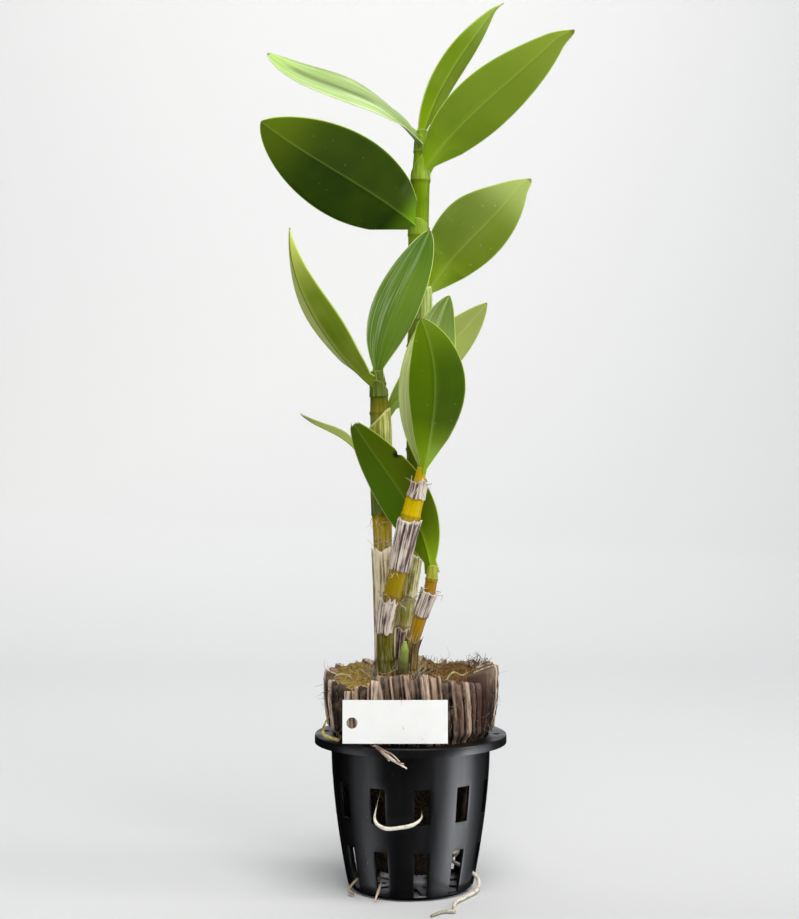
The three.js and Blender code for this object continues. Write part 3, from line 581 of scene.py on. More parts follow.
# %% Paint for both kinds
def sheath_finish(name, pale, streak_dark, streak_mid, rim, roughness):
    paper, node = new_finish(name)
    straight = node("Attribute", out="Vector", attribute_name="straight")
    ribs = node("TexNoise", node("Mapping", straight, sockets={"Scale": (0.075, 0.03, 0.0)}), 1.0, 8.0, 0.62,
                sockets={"Distortion": 0.8})
    patch = node("TexNoise", node("Mapping", straight, sockets={"Scale": (0.02, 0.09, 0.0)}), 1.0, 3.0)
    mixed = node("Math", patch, 0.35, ribs, operation="MULTIPLY_ADD")
    ramp = node("ValToRGB", mixed, stops=[(0.6, streak_dark), (0.65, streak_mid), (0.71, pale), (0.87, rim)])
    edge = node("Attribute", out="Fac", attribute_name="mark")
    rimmed = node("Mix", node("MapRange", edge, 0.93, 0.99, 0.0, 0.7), ramp, rim)
    rough = node("MapRange", ribs, 0.0, 1.0, roughness - 0.1, roughness + 0.1)
    return end_finish(paper, {"Base Color": rimmed, "Roughness": rough, "IOR": 1.42},
                      relief=(ribs, 0.5, 0.0005))


# Each is its name, the colours of its body, its dark and middling streaks and its rim, and its roughness
SHEATH_SKINS = {key: sheath_finish(*row) for key, row in {
    "white": ("dried_sheath_paper", "#d4c8ba", "#523a38", "#94807a", "#e8e0d4", 0.8),
    "grey": ("weathered_sheath_paper", "#dccfac", "#75644a", "#b8a67e", "#e2d8c0", 0.8),
    "striped": ("olive_striped_sheath", "#d8cfa4", "#6f7020", "#a9a050", "#ece6cc", 0.7),
    "rotted": ("rotted_sheath_paper", "#8d7646", "#443514", "#6a5626", "#ab9468", 0.75),
    "green": ("green_leaf_sheath", "#86a41c", "#6f8d10", "#7b9916", "#93ae34", 0.45),
    "pale": ("striped_pale_sheath", "#b2c46c", "#869f38", "#9fb452", "#d6dfa6", 0.5),
    "olive": ("olive_leaf_sheath", "#66761a", "#4f5e08", "#5a6a0e", "#8d9a3c", 0.48),
    "gold": ("ripe_leaf_sheath", "#a5a734", "#8c901c", "#989b28", "#c2c25c", 0.45),
    "straw": ("straw_leaf_sheath", "#b4b858", "#848a22", "#9aa03a", "#e0e2a0", 0.45),
}.items()}

# %% Dry sheaths, one for each solid: cane, lower and upper edge, side, arc, flare, tear, skin
DRY_SHEATHS = {
    "sheath_left_papery": ("cane_left", 117, 176, 90, 250, 0.5, 3.2, "grey"),
    "sheath_tall_upper": ("cane_tall", 149.6, 172, 100, 230, 0.5, 3.5, "striped"),
    "sheath_tall_lower": ("cane_tall", 117, 133, 80, 230, 0.5, 3, "white"),
    "sheath_front_top": ("cane_front", 203.5, 212.5, 80, 250, 0.9, 2.5, "white"),
    "sheath_front_striped": ("cane_front", 166.5, 192.5, 110, 260, 0.5, 2.5, "white"),
    "sheath_front_lower": ("cane_front", 134, 150.6, 150, 200, 0.6, 4.2, "white"),
    "sheath_short_upper": ("cane_short", 142, 155, 90, 250, 0.6, 2.5, "white"),
    "sheath_short_lower": ("cane_short", 114.5, 131, 60, 230, 0.3, 3, "rotted"),
}
for name, (on, low, high, face, arc, flare, tear, skin) in DRY_SHEATHS.items():
    bm = wrapped(CANES[on], low, high, face, arc, 0.55, flare, 0.22, tear=tear, seed=low)
    make_piece(name + "_torn", bm, SHEATH_SKINS[skin], "dry_sheath", replaces=[name])

# %% Frayed skirts of the oldest sheaths round the feet of three canes: cane, upper edge, side
FOOT_SKIRTS = {
    "foot_skirt_front": ("cane_front", 114, 100),
    "foot_skirt_short": ("cane_short", 111, 60),
    "foot_skirt_left": ("cane_left", 116, 90),
}
for name, (on, high, face) in FOOT_SKIRTS.items():
    bm = wrapped(CANES[on], 105, high, face, 330, 0.5, 0.6, 0.25, tear=3, seed=high)
    make_piece(name, bm, SHEATH_SKINS["rotted"], "dry_sheath")

# %% Green sleeves: cane, lower edge, upper edge, the side that the blade leaves from, slant, skin
GREEN_SLEEVES = {
    "sleeve_tall_c": ("cane_tall", 388, 396.5, 80, 1.5, "green"),
    "sleeve_tall_b": ("cane_tall", 386, 391.5, 120, 3.5, "green"),
    "sleeve_tall_d": ("cane_tall", 371, 378.5, 59, 6.5, "green"),
    "sleeve_tall_a": ("cane_tall", 342, 346.5, 104, 4.5, "green"),
    "sleeve_tall_e": ("cane_tall", 297, 310.5, 27, 4.0, "pale"),
    "sleeve_left_c": ("cane_left", 262.4, 268, 90, 1.0, "olive"),
    "sleeve_left_l": ("cane_left", 255.5, 261, 118, 3.5, "olive"),
    "sleeve_left_r": ("cane_left", 222.5, 244.5, 16, 5.0, "straw"),
    "sleeve_left_t": ("cane_left", 194.3, 209, 210, 5.0, "olive"),
    "sleeve_short": ("cane_short", 160.2, 167.4, 80, 1.0, "gold"),
}
for name, (on, low, high, face, slant, skin) in GREEN_SLEEVES.items():
    bm = wrapped(CANES[on], low, high, face, 320, 0.2, 0.25, 0.25, tear=0.15, slant=slant, seed=high, rows=18)
    make_piece(name, bm, SHEATH_SKINS[skin], "leaf")

# %% [markdown]
# ## Leaves
# A leaf is a leathery blade with a sunk midrib on its glossy upper face, a raised pale one on the
# matt lower face, and side veins that run from base to tip like lines of longitude. A thin plate is
# bent by a rule: across it, the two halves fold up from the midrib; along it, the midrib follows a
# smooth curve through four points; and its width swells to a belly and narrows to a drawn-out tip.
# The plate's own coordinates go into the "straight" attribute, so the veins need no texture map.

# %% The twelve leaves. "rib" is the midrib's four points and "up" the way that the upper face
# looks. The width is greatest at "belly"; "base" and "tip" say how full the outline is on each side
# of it; "fold" is how many degrees each half rises; "clasp" is the width at the foot; and "lean"
# makes one half wider. The tones are those of the two halves, the base and the tip. Besides each
# leaf's own green they hold painted light and shade: a part turned to the light is paler, one
# turned away darker.
LEAVES = {
    # leaf_tall_a's very dark tones are partly painted shade: its blade is turned away from the light
    "leaf_tall_a": dict(rib=[(4.2, 13.2, 345.5), (-22, 1, 363), (-50, -15, 377.8), (-75.5, -30, 393)],
                        up=(0.15, 0.95, 0.2), width=46, belly=0.46, base=0.6, tip=0.68, fold=8, clasp=12,
                        tones=("#1d3603", "#213e03", "#6f9b10", "#5f760d")),
    # leaf_tall_b's whitish tones are painted highlight over its green: the glare on its glossy upper face
    "leaf_tall_b": dict(rib=[(5, 13.4, 390), (-20.2, 2, 409.8), (-46.1, -4, 418.8), (-74.3, -6, 433.2)],
                        up=(0.36, -0.51, 0.77), width=35, belly=0.66, base=0.85, tip=0.62, fold=2, clasp=12,
                        tones=("#9ebb77", "#8ca465", "#6a8c1c", "#9dc060")),
    "leaf_tall_c": dict(rib=[(5.4, 14.8, 393), (16.8, 17, 421.5), (31, 20, 444.7), (46.8, 21, 466.8)],
                        up=(-0.4, 0.86, 0.25), width=16, belly=0.5, base=0.55, tip=0.95, fold=16, clasp=8,
                        tones=("#637c09", "#5f7b04", "#84a009", "#8fa848")),
    "leaf_tall_d": dict(rib=[(6.8, 12.6, 375.5), (27, 2, 398.5), (51.5, -6, 419.5), (79.5, -16, 443.5)],
                        up=(-0.15, 0.95, 0.2), width=31, belly=0.48, base=0.62, tip=0.75, fold=8, clasp=12,
                        tones=("#6e8a19", "#6b871f", "#8cb010", "#90a539")),
    "leaf_tall_e": dict(rib=[(7.6, 17, 311), (27, 14, 334.5), (43, 10, 350.5), (60, 10, 371)],
                        up=(0.05, 0.97, 0.2), width=36, belly=0.48, base=0.56, tip=0.75, fold=6, clasp=11,
                        lean=0.14, tones=("#6a800f", "#5e771a", "#8cac1a", "#a4b565")),
    "leaf_left_l": dict(rib=[(-17.4, -2.6, 258.5), (-41, -14, 283), (-56.6, -21, 311), (-62, -18, 341)],
                        up=(0.6, 0.7, 0.35), width=23, belly=0.42, base=0.8, tip=1.1, fold=26, clasp=14,
                        tones=("#607903", "#b6c263", "#6b7d10", "#cdd566")),
    "leaf_left_c": dict(rib=[(-17.5, -1.4, 265), (-11.8, -3, 292.5), (-1, -3, 317), (10, 1, 342.5)],
                        up=(0.1, -0.95, 0.25), width=24.5, belly=0.47, base=0.8, tip=0.62, fold=12, clasp=9,
                        tones=("#58761e", "#68872a", "#587703", "#3f6405")),
    "leaf_left_r": dict(rib=[(-13.8, 0.4, 245.5), (4.4, 6, 266), (22.5, 15, 285), (41, 22, 306.5)],
                        up=(-0.1, 0.97, 0.2), width=22, belly=0.58, base=0.8, tip=0.7, fold=8, clasp=10,
                        tones=("#93a450", "#84964a", "#6d8820", "#8c9550")),
    "leaf_left_t": dict(rib=[(-17.5, 1.8, 210), (-31, 9, 230.5), (-45, 14, 239), (-58.5, 17, 247)],
                        up=(0.49, 0.12, 0.86), width=16, belly=0.45, base=0.8, tip=0.8, fold=16, clasp=7,
                        tones=("#cedd61", "#8da63e", "#6f8424", "#8a954d")),
    "leaf_front_f": dict(rib=[(5.6, -27, 214.5), (11, -34, 245.5), (11.3, -37, 269.5), (5, -34, 293.4)],
                         up=(-0.12, 1, 0.05), width=29.5, belly=0.52, base=0.8, tip=0.62, fold=10, clasp=5,
                         lean=-0.1, tones=("#344f03", "#4f6d03", "#86a80c", "#587303")),
    "leaf_front_b": dict(rib=[(5.8, -24, 215), (7, -17, 246), (10.4, -11, 276), (20.2, -1, 308)],
                         up=(0, -1, 0.12), width=29, belly=0.5, base=0.8, tip=0.65, fold=10, clasp=5,
                         tones=("#a3b070", "#8ca850", "#b4c660", "#406003")),
    "leaf_short_s": dict(rib=[(10.8, -13, 164), (2.2, -11.5, 192.6), (-12, -11.5, 215.6),
                              (-30.2, -15, 242.4)],
                         up=(0.1, 1, 0.1), width=27, belly=0.48, base=0.8, tip=0.6, fold=8, clasp=10,
                         tones=("#4f6206", "#496b03", "#78940a", "#455c03")),
}


# %% The midrib: a cubic curve through four points, at 0, 1/3, 2/3 and 1
def rib_point(points, t):
    base, third, two_thirds, tip = (Vector(p) for p in points)
    near = -5 / 6 * base + 3 * third - 1.5 * two_thirds + tip / 3
    far = base / 3 - 1.5 * third + 3 * two_thirds - 5 / 6 * tip
    s = 1 - t
    place = s**3 * base + 3 * s**2 * t * near + 3 * s * t**2 * far + t**3 * tip
    along = 3 * s**2 * (near - base) + 6 * s * t * (far - near) + 3 * t**2 * (tip - far)
    return place, along.normalized()


# %% Half the width at a share of the length
def half_width(leaf, t, blunt=0.0):
    belly = leaf["belly"]
    if t < belly:
        body = math.sin(math.pi / 2 * t / belly) ** leaf["base"]
    else:
        body = max(math.cos(math.pi / 2 * (t - belly) / (1 - belly)), 0) ** (leaf["tip"] * (1 - blunt))
    return max(leaf["width"] / 2 * body, leaf["clasp"] / 2 * (1 - t) ** 5, 0.3)


# %% Bend a plate into a blade. "bite" is where along it, on which side, and how deep.
def blade(leaf, seed, hook=0.0, blunt=0.0, end=1.0, bite=(2.0, 1, 0.0)):
    def rule(p):
        u = math.copysign(abs(p.x) ** 1.35, p.x)
        t = end * (p.y - 0.5 * math.sin(2 * math.pi * p.y) / (2 * math.pi))
        if end < 1:
            t += p.y**12 * 0.018 * roughness_at((u * 5, seed, 0), 1.0)
        place, along = rib_point(leaf["rib"], t)
        up = Vector(leaf["up"])
        up = (up - along * up.dot(along)).normalized()
        across = along.cross(up)
        uneven = leaf.get("lean", 0) * ((u > 0) - (u < 0))
        half = half_width(leaf, t, blunt if u < 0 else 0) * (1 + uneven)
        if u * bite[1] > 0:
            half *= 1 - bite[2] * hump(t - bite[0], 0.012)
        fold = math.radians(lerp(leaf["fold"] + 30, leaf["fold"], min(t * 5, 1)))
        lift = abs(u) ** 1.2 * half * math.sin(fold)
        wave = 0.55 * abs(u) ** 3 * math.sin(t * 9 + seed * 2.3 + u) * math.sin(math.pi * t)
        thick = lerp(0.7, 1.3, (1 - abs(u)) ** 2 * (1 - t) ** 0.5) * (1 - 0.45 * abs(u) ** 12)
        rib = hump(u * half, 0.7) * (1 - t) ** 0.6
        ridge = -0.45 * rib if p.z < 0 else -0.3 * rib
        drawn = max((t - 0.93) / 0.07, 0) ** 2
        place = place + across * (u * half * math.cos(fold) + hook * drawn) + along * abs(hook) * 0.75 * drawn
        place += up * (lift + wave + p.z * thick / 2 + ridge)
        return place, (u, t, p.z), half

    return bend(straight_plate(32, 72), rule)


# %% [markdown]
# ### The skin of a leaf
# The upper face has a hard clear wax over mid green, and mirrors the sky in long soft streaks. The
# lower face is duller, a yellower green, with the midrib as a fine pale line. Each half of a blade
# has its own tone, partly real, as the halves age differently, and partly painted light and shade,
# as the fold turns one half to the light and the other away from it.
# The base fades to light green, a yellow margin a few tenths of a millimetre wide runs all round,
# and the very tip is dry and brown. The veins run with the blade, so they meet at both ends. Small
# pale specks are old mite marks.


# %% Paint for a leaf. "shown" is the face that has its tones, 1 for the upper, and "other" the
# green of the other face. Each half has its own strength of veins; "rib", "wedge" and "specks" are
# strengths too, "throat" is how far the base's tone runs, and "burn" a dead edge's place and side.
SOFT = dict(interpolation_type="SMOOTHSTEP")


def leaf_finish(name, tones, other="#5c7a10", shown=-1, margin="#b9cf66", gloss=0.3, veins=(0.08, 0.08),
                rib=0.16, keel=None, wedge=0.0, throat=0.32, burn=None, specks=0.0, pale=None):
    skin, node = new_finish(name)
    first, second, base, tip = (paint(tone) for tone in tones)
    light_vein = paint(pale) if pale else tuple(min(1.7 * share, 1) for share in second)
    deep = tuple(0.45 * share for share in second)
    straight = node("Attribute", out="Vector", attribute_name="straight")
    u, t, side = (node("SeparateXYZ", straight, out=axis) for axis in "XYZ")
    place = node("TexCoord", out="Object")
    half = node("Attribute", out="Fac", attribute_name="mark")
    from_rib = node("Math", u, operation="ABSOLUTE")

    colour = node("Mix", node("MapRange", u, -0.25, 0.25, **SOFT), first, second)
    drift = node("TexNoise", place, 30.0, 2.0)
    colour = node("Mix", node("MapRange", drift, 0.3, 0.7, 0.0, 0.22, **SOFT), colour, tip)
    colour = node("Mix", node("MapRange", t, 0.62, 0.97, 0.0, 0.9, **SOFT), colour, tip)
    colour = node("Mix", node("MapRange", t, 0.02, throat, 0.95, 0.0, **SOFT), colour, base)
    turned_away = node("Math", side, shown, operation="MULTIPLY")
    colour = node("Mix", node("MapRange", turned_away, -0.2, 0.2, 0.8, 0.0, **SOFT), colour, other)
    # veins show in some places and not in others, and more on one half than on the other
    lines = node("TexNoise", node("Mapping", straight, sockets={"Scale": (24, 1.4, 1)}), 1.0, 3.0)
    places = node("TexNoise", node("Mapping", straight, sockets={"Scale": (5, 2.2, 1)}), 1.0, 3.0)
    shows = node("Math", node("MapRange", places, 0.4, 0.6, 0.25, 1.3, **SOFT),
                 node("MapRange", u, -0.1, 0.1, *veins, **SOFT), operation="MULTIPLY")
    for low, high, tone in ((0.4, 0.66, light_vein), (0.44, 0.3, deep)):
        vein = node("MapRange", lines, low, high, 0.0, 1.0, **SOFT)
        colour = node("Mix", node("Math", vein, shows, operation="MULTIPLY"), colour, tone)
    # a dark wedge beside the rib, which fades towards both ends
    near = node("Math", node("MapRange", from_rib, 0.06, 0.34, wedge, 0.0, **SOFT),
                node("MapRange", t, 0.2, 0.45, **SOFT), operation="MULTIPLY")
    dark = node("Math", near, node("MapRange", t, 0.95, 0.8, **SOFT), operation="MULTIPLY")
    colour = node("Mix", dark, colour, deep)
    # the midrib, within half a millimetre of the middle, and the margin, within half of the edge
    off = node("Math", from_rib, half, operation="MULTIPLY")
    colour = node("Mix", node("MapRange", off, 0.2, 0.65, rib, 0.0, **SOFT), colour, keel or margin)
    inside = node("Math", half, off, operation="SUBTRACT")
    colour = node("Mix", node("MapRange", inside, 0.12, 0.55, 0.8, 0.0, **SOFT), colour, margin)
    colour = node("Mix", node("MapRange", t, 0.985, 0.997, 0.0, 0.75, **SOFT), colour, "#6b5518")
    if burn:  # a dead black edge round a bite
        along = node("Math", node("Math", t, burn[0], operation="SUBTRACT"), operation="ABSOLUTE")
        across = node("Math", u, burn[1], operation="MULTIPLY")
        dead = node("Math", node("MapRange", along, 0.008, 0.028, 1.0, 0.0, **SOFT),
                    node("MapRange", across, 0.66, 0.84, **SOFT), operation="MULTIPLY")
        colour = node("Mix", dead, colour, "#1f1c0c")
    cells = node("TexVoronoi", place, 170.0)
    colour = node("Mix", node("MapRange", cells, 0.04, 0.12, specks, 0.0, **SOFT), colour, "#c2cf9a")
    rough = node("MapRange", side, -0.2, 0.2, gloss + 0.16, gloss, **SOFT)
    return end_finish(skin, {"Base Color": colour, "Roughness": rough, "IOR": 1.45,
                             "Specular IOR Level": 0.16, "Specular Tint": "#eef2a0", "Coat Weight": 0.04,
                             "Coat Roughness": 0.25, "Subsurface Weight": 0.08, "Subsurface Scale": 0.001,
                             "Subsurface Radius": (0.6, 1.0, 0.1)},
                      relief=(lines, 0.08 + 0.3 * max(veins), 0.0004))


# %% What sets some leaves apart: striped or glossy skin, mite marks, a hooked or bitten tip
SKIN_OF = {
    "leaf_tall_a": dict(veins=(0.05, 0.05), rib=0.12, throat=0.17, specks=0.1),
    # leaf_tall_b's near-white margin and veins are partly painted highlight, the glare on its glossy upper
    # face
    "leaf_tall_b": dict(other="#5a7c10", shown=1, gloss=0.2, veins=(0.5, 0.5), rib=0.0, wedge=0.75,
                        margin="#dcf0a8", pale="#e4efc8"),
    "leaf_tall_e": dict(specks=0.25),
    "leaf_left_c": dict(other="#5f7d12", shown=1, gloss=0.24, veins=(0.36, 0.08), rib=0.08,
                        margin="#c9dc8a", pale="#aebf9c"),
    "leaf_left_l": dict(veins=(0.06, 0.5), rib=0.75, keel="#3a4a10", pale="#b9c48c"),
    "leaf_left_t": dict(veins=(0.4, 0.3), rib=0.7, keel="#3f5012", margin="#dfe8b8", pale="#c4ccac"),
    "leaf_front_b": dict(other="#5f7d12", shown=1, veins=(0.4, 0.12), pale="#c4cf9a"),
    "leaf_front_f": dict(veins=(0.05, 0.05), specks=0.12, rib=0.1),
    "leaf_short_s": dict(veins=(0.06, 0.06), rib=0.08, burn=(0.725, -1)),
}
SHAPE_OF = {
    "leaf_tall_c": dict(hook=-2.8, blunt=0.1),
    "leaf_tall_d": dict(hook=-3.6, blunt=0.28),
    "leaf_tall_e": dict(hook=-3.0, blunt=0.28),
    "leaf_short_s": dict(end=0.98, bite=(0.725, -1, 0.15)),
}

# %% The leaves as pieces
for i, (name, leaf) in enumerate(LEAVES.items()):
    skin = leaf_finish("waxy_skin_of_" + name, leaf["tones"], **SKIN_OF.get(name, {}))
    make_piece(name + "_blade", blade(leaf, i, **SHAPE_OF.get(name, {})), skin, "leaf", replaces=[name])

# %% [markdown]
# ## What fills the pot
# The plant was grown from a plug: a ball of coir and bog moss, held together by its own roots. It
# was then set in the pot with strips of coconut husk and bark wedged upright round it. The husk
# stands well above the rim. Everything here is matt, brown and fibrous, and no two strips agree in
# height or colour.

# %% The strips: from and to in degrees from the front towards +X, top, reach over the rim, colour
STRIPS = {
    "husk_front_1": (-54, -43, 104.5, 3.5, "#8a7560"), "husk_front_2": (-43, -32, 107.5, 3.5, "#967f6a"),
    "husk_front_3": (-32, -20, 111, 3.5, "#c8ac98"), "husk_front_4": (-20, -9, 114, 3.5, "#9a8070"),
    "husk_front_5": (-9, 3, 115.5, 3.5, "#c4aa96"), "husk_front_6": (3, 13, 113.5, 3.5, "#65493e"),
    "husk_front_7": (13, 25, 114.5, 3.5, "#b8a08c"), "husk_front_8": (25, 36, 112, 3.5, "#705c4e"),
    "bark_right_1": (36, 59, 110.5, 5.5, "#5e3f34"), "bark_right_2": (59, 85, 115.5, 7, "#4a3028"),
    "bark_right_3": (85, 112, 115, 6, "#4f3c30"), "husk_back_1": (112, 138, 115, 2, "#5c4533"),
    "husk_back_2": (138, 164, 113, 2.5, "#6d5640"), "husk_back_3": (164, 190, 114.5, 2, "#5a4634"),
    "husk_back_4": (190, 216, 112.5, 2.5, "#75603f"), "husk_back_5": (216, 242, 113.5, 2, "#644e38"),
    "husk_left_1": (242, 263, 113, 5, "#6d5c4a"), "husk_left_2": (263, 285, 111.5, 6, "#786650"),
    "husk_left_3": (285, 306, 108.5, 5.5, "#4d4035"),
}


# %% Bend a plate into a strip of husk. Cracks split it into narrower ones, each with its own top and tone.
STRIP_INNER, STRIP_FOOT = 33.6, 61
POT_MOUTH = 39.4  # the bore of the rim, which the strips stand in
MM_PER_DEGREE = 0.68  # round the mouth
CRACK_SPACING = 3.8


def strip_mesh(start, end, top, reach, seed):
    width = (end - start) * MM_PER_DEGREE
    count = round(width / CRACK_SPACING)
    cracks = sorted(-0.75 + 1.5 * (k + 0.5 + 0.6 * scatter(seed * 3 + k)) / count for k in range(count))
    cracks = [-1.2] + cracks + [1.2]

    def rule(p):
        part = max(k for k in range(len(cracks) - 1) if p.x >= cracks[k])
        own = scatter(seed * 7 + part * 3)
        crack = sum(hump((p.x - c) * width / 2, 0.42) for c in cracks[1:-1])
        out = (p.z + 1) / 2
        fray = 0.8 * roughness_at((p.x * width * 0.9, out * 5, seed), 1.0)
        fray += 0.7 * roughness_at((p.x * width * 3, out * 9, seed), 1.0)
        dip = 3.2 * (1 - out) if reach > 4 else 0.8 * (1 - out)
        height = lerp(STRIP_FOOT, top - 0.4 + 1.5 * own * lerp(0.3, 1, out) + fray - dip, p.y)
        mouth = inner_wall(height) - 0.8 if height < WALL_TOP else POT_MOUTH
        lean = value_at([(80.5, 0), (84, 0.7), (98, 1)], height)
        side = p.x * width / 2
        groove = roughness_at((side + seed * 9, height * 0.035, 0), 1.1, 4)
        pits = roughness_at((side * 2.2, height * 0.25, seed), 0.8)
        rounded = 13 * max(abs(p.x) - 0.78, 0) ** 2 + 0.5 * max(p.y - 0.97, 0) / 0.03
        outer = mouth + reach * lean - 0.9 + 0.6 * own * lean
        outer += 0.6 * groove + 0.5 * pits - rounded - 1.5 * crack
        radius = lerp(STRIP_INNER + 0.4 * pits, outer, out)
        slant = 0.0022 * scatter(seed * 5) - 0.0012
        skew = math.radians(lerp(start, end, (p.x + 1) / 2)) + (height - 85) * slant
        grain = (side + seed * 40, height, out * reach)
        # the mark holds each narrow strip's own tone, pulled far down in the cracks between them as painted
        # shade
        return round_pot(skew, radius, height), grain, 0.5 + 0.5 * own - 1.1 * crack

    return bend(straight_plate(max(int(width * 2.6), 20), 44, 6), rule)


# %% [markdown]
# ### Husk and bark
# A strip of husk is a bundle of fibres in a corky pith: long narrow streaks, tan where the fibres
# are, dark where the pith has rotted, grey where it has weathered. The streaks follow the strip, so
# the pattern is stretched along it. Bark has the same streaks, but redder and darker.


# %% Paint for one strip
def strip_finish(name, main):
    fibre, node = new_finish(name)
    straight = node("Attribute", out="Vector", attribute_name="straight")
    streak = node("TexNoise", node("Mapping", straight, sockets={"Scale": (1.0, 0.06, 1.0)}), 0.8, 8.0, 0.75)
    tone = node("ValToRGB", streak,
                stops=[(0.35, "#2c231e"), (0.44, "#a4968c"), (0.53, "#f6eae2"), (0.62, "#ffffff")])
    # the darkest stops are reached in the cracks between the narrow strips: painted shade
    own = node("ValToRGB", node("Attribute", out="Fac", attribute_name="mark"),
               stops=[(0.0, "#0e0908"), (0.14, "#42332b"), (0.42, main), (1.0, "#efdfd0")])
    body = node("Mix", 1.0, own, tone, blend_type="MULTIPLY")
    weathered = node("MapRange", node("TexNoise", straight, 0.16, 4.0), 0.52, 0.72, 0.0, 0.3)
    colour = node("Mix", weathered, body, "#a5937f")
    # the torn tops are paler than the sides
    torn = node("MapRange", node("SeparateXYZ", straight, out="Y"), 102.0, 114.0, 0.0, 0.2)
    colour = node("Mix", torn, colour, "#c8ae98")
    return end_finish(fibre, {"Base Color": colour, "Roughness": 0.95, "IOR": 1.35},
                      relief=(streak, 0.7, 0.0006))


for seed, (name, (start, end, top, reach, main)) in enumerate(STRIPS.items()):
    bm = strip_mesh(start, end, top, reach, seed + 1)
    make_piece(name + "_strip", bm, strip_finish("fibrous_" + name, main), "husk", replaces=[name])

# %% [markdown]
# ### The root ball
# The plug narrows to its foot and hangs a little above the pot's floor, so light passes through
# the lowest windows. It is turned from a profile and then roughened all over, most of all on top,
# where moss makes lumps. Its colour changes from dark coir at the foot, darkened further with
# painted shade below the top, to golden moss on top.

# %% Spin and roughen the root ball
profile = [(0, 9), (7, 9), (14, 9.2), (18, 10.4), (21, 12), (23.5, 17), (26, 24), (27.5, 30), (28.6, 36),
           (29.5, 42), (31.4, 51), (32.8, 60), (32.8, 68), (32.8, 76), (32.8, 84), (32.8, 92), (32.8, 99),
           (32.3, 103), (30, 106), (26, 106.6), (21, 107), (16, 107.5), (11, 108), (5, 108), (0, 108)]
bm = turned(profile, 140, cuts=2)
bmesh.ops.recalc_face_normals(bm, faces=bm.faces)
bm.normal_update()
lifted = [(vert, vert.normal * (1.1 * roughness_at(vert.co, 0.22, 5) + 0.5 * roughness_at(vert.co, 0.9)))
          for vert in bm.verts]
for vert, lift in lifted:
    vert.co += lift
    if vert.co.x < -20:  # one root has pushed the plug out to the left
        vert.co.x *= 1 + 0.11 * hump(vert.co.z - 52, 14)
    if vert.co.z > 100:
        vert.co.z += 0.09 * vert.co.y + 1.2 * max(roughness_at(vert.co, 0.1), -0.5)
print("root ball:", len(bm.faces), "faces")

# %% Coir and moss: below the top dark coir with painted shade, and on top golden at the left and
# rusty at the right
coir, node = new_finish("coir_with_painted_shade_and_moss")
place = node("TexCoord", out="Object")
swirl = node("TexNoise", place, 320.0, 6.0, 0.7, sockets={"Distortion": 2.2})
# painted shade: below the top, the coir's own dark brown is darkened further, as it lies in the pot's shade
dark = node("ValToRGB", swirl, stops=[(0.34, "#0f0b08"), (0.5, "#30251a"), (0.66, "#5e4c34")])
moss = node("ValToRGB", swirl, stops=[(0.34, "#463b20"), (0.5, "#987f42"), (0.68, "#c8ae66")])
rusty = node("ValToRGB", swirl, stops=[(0.34, "#28190e"), (0.5, "#644627"), (0.68, "#96703e")])
top = node("Mix", node("MapRange", node("SeparateXYZ", place, out="X"), 0.004, 0.018), moss, rusty)
share = node("MapRange", node("SeparateXYZ", place, out="Z"), 0.098, 0.104)
end_finish(coir, {"Base Color": node("Mix", share, dark, top), "Roughness": 0.97, "IOR": 1.33},
           relief=(swirl, 0.9, 0.0012))
make_piece("root_ball", bm, coir, "coir", replaces=["coir_core"])


# %% Moss grown over the top: a flat cushion that rises to the back and spreads over the side strips
def moss_rise(x, y):
    return 0.14 * y + 2.2 * max(abs(x) - 20, 0) / 20


profile = [(0, 102), (20, 102), (30, 102.6), (37, 104.2), (39.2, 105.6), (40, 107.2), (39.4, 108.4),
           (37.5, 109), (33, 109.2), (27, 109.1), (20, 109.3), (12, 109.4), (5, 109.4), (0, 109.4)]
bm = turned(profile, 160, cuts=3)
bmesh.ops.recalc_face_normals(bm, faces=bm.faces)
for vert in bm.verts:
    sideways = abs(vert.co.x) / (math.hypot(vert.co.x, vert.co.y) + 0.01)
    spread = lerp(0.82, 1.0, min(max((sideways - 0.55) / 0.3, 0), 1))
    vert.co.x *= spread
    vert.co.y *= spread
    lumps = 1.1 * roughness_at(vert.co, 0.13) + 0.7 * roughness_at(vert.co, 0.6, 4)
    vert.co.z += moss_rise(vert.co.x, vert.co.y) + lumps
make_piece("moss_cushion", bm, coir, "coir")

# %% [markdown]
# ## Loose fibres
# Husk sheds wiry fibres, moss has fine stalks, and old roots leave dark curly hairs. Each strand is
# a three-sided rod of about twenty faces, bent along four points. All strands of one kind are one
# piece.


# %% A smooth curve through points, with a radius at each, as rings that don't twist
def rings_along(line, radii, steps):
    points = [Vector(p) for p in line]
    ends = [2 * points[0] - points[1]] + points + [2 * points[-1] - points[-2]]
    middles = []
    for step in range(steps + 1):
        at = min(step / steps * (len(points) - 1), len(points) - 1.0001)
        i, u = int(at), at - int(at)
        a, b, c, d = ends[i:i + 4]
        middles.append(0.5 * (2 * b + (c - a) * u + (2 * a - 5 * b + 4 * c - d) * u**2
                              + (3 * b - a - 3 * c + d) * u**3))
    thickness = [(i / (len(radii) - 1), radius) for i, radius in enumerate(radii)]
    side = Vector((0.3, 0.2, 1)).cross(middles[1] - middles[0]).normalized()
    rings = []
    for step, middle in enumerate(middles):
        along = (middles[min(step + 1, steps)] - middles[max(step - 1, 0)]).normalized()
        side = (side - along * side.dot(along)).normalized()
        rings.append((middle, side, along.cross(side), value_at(thickness, step / steps)))
    return rings


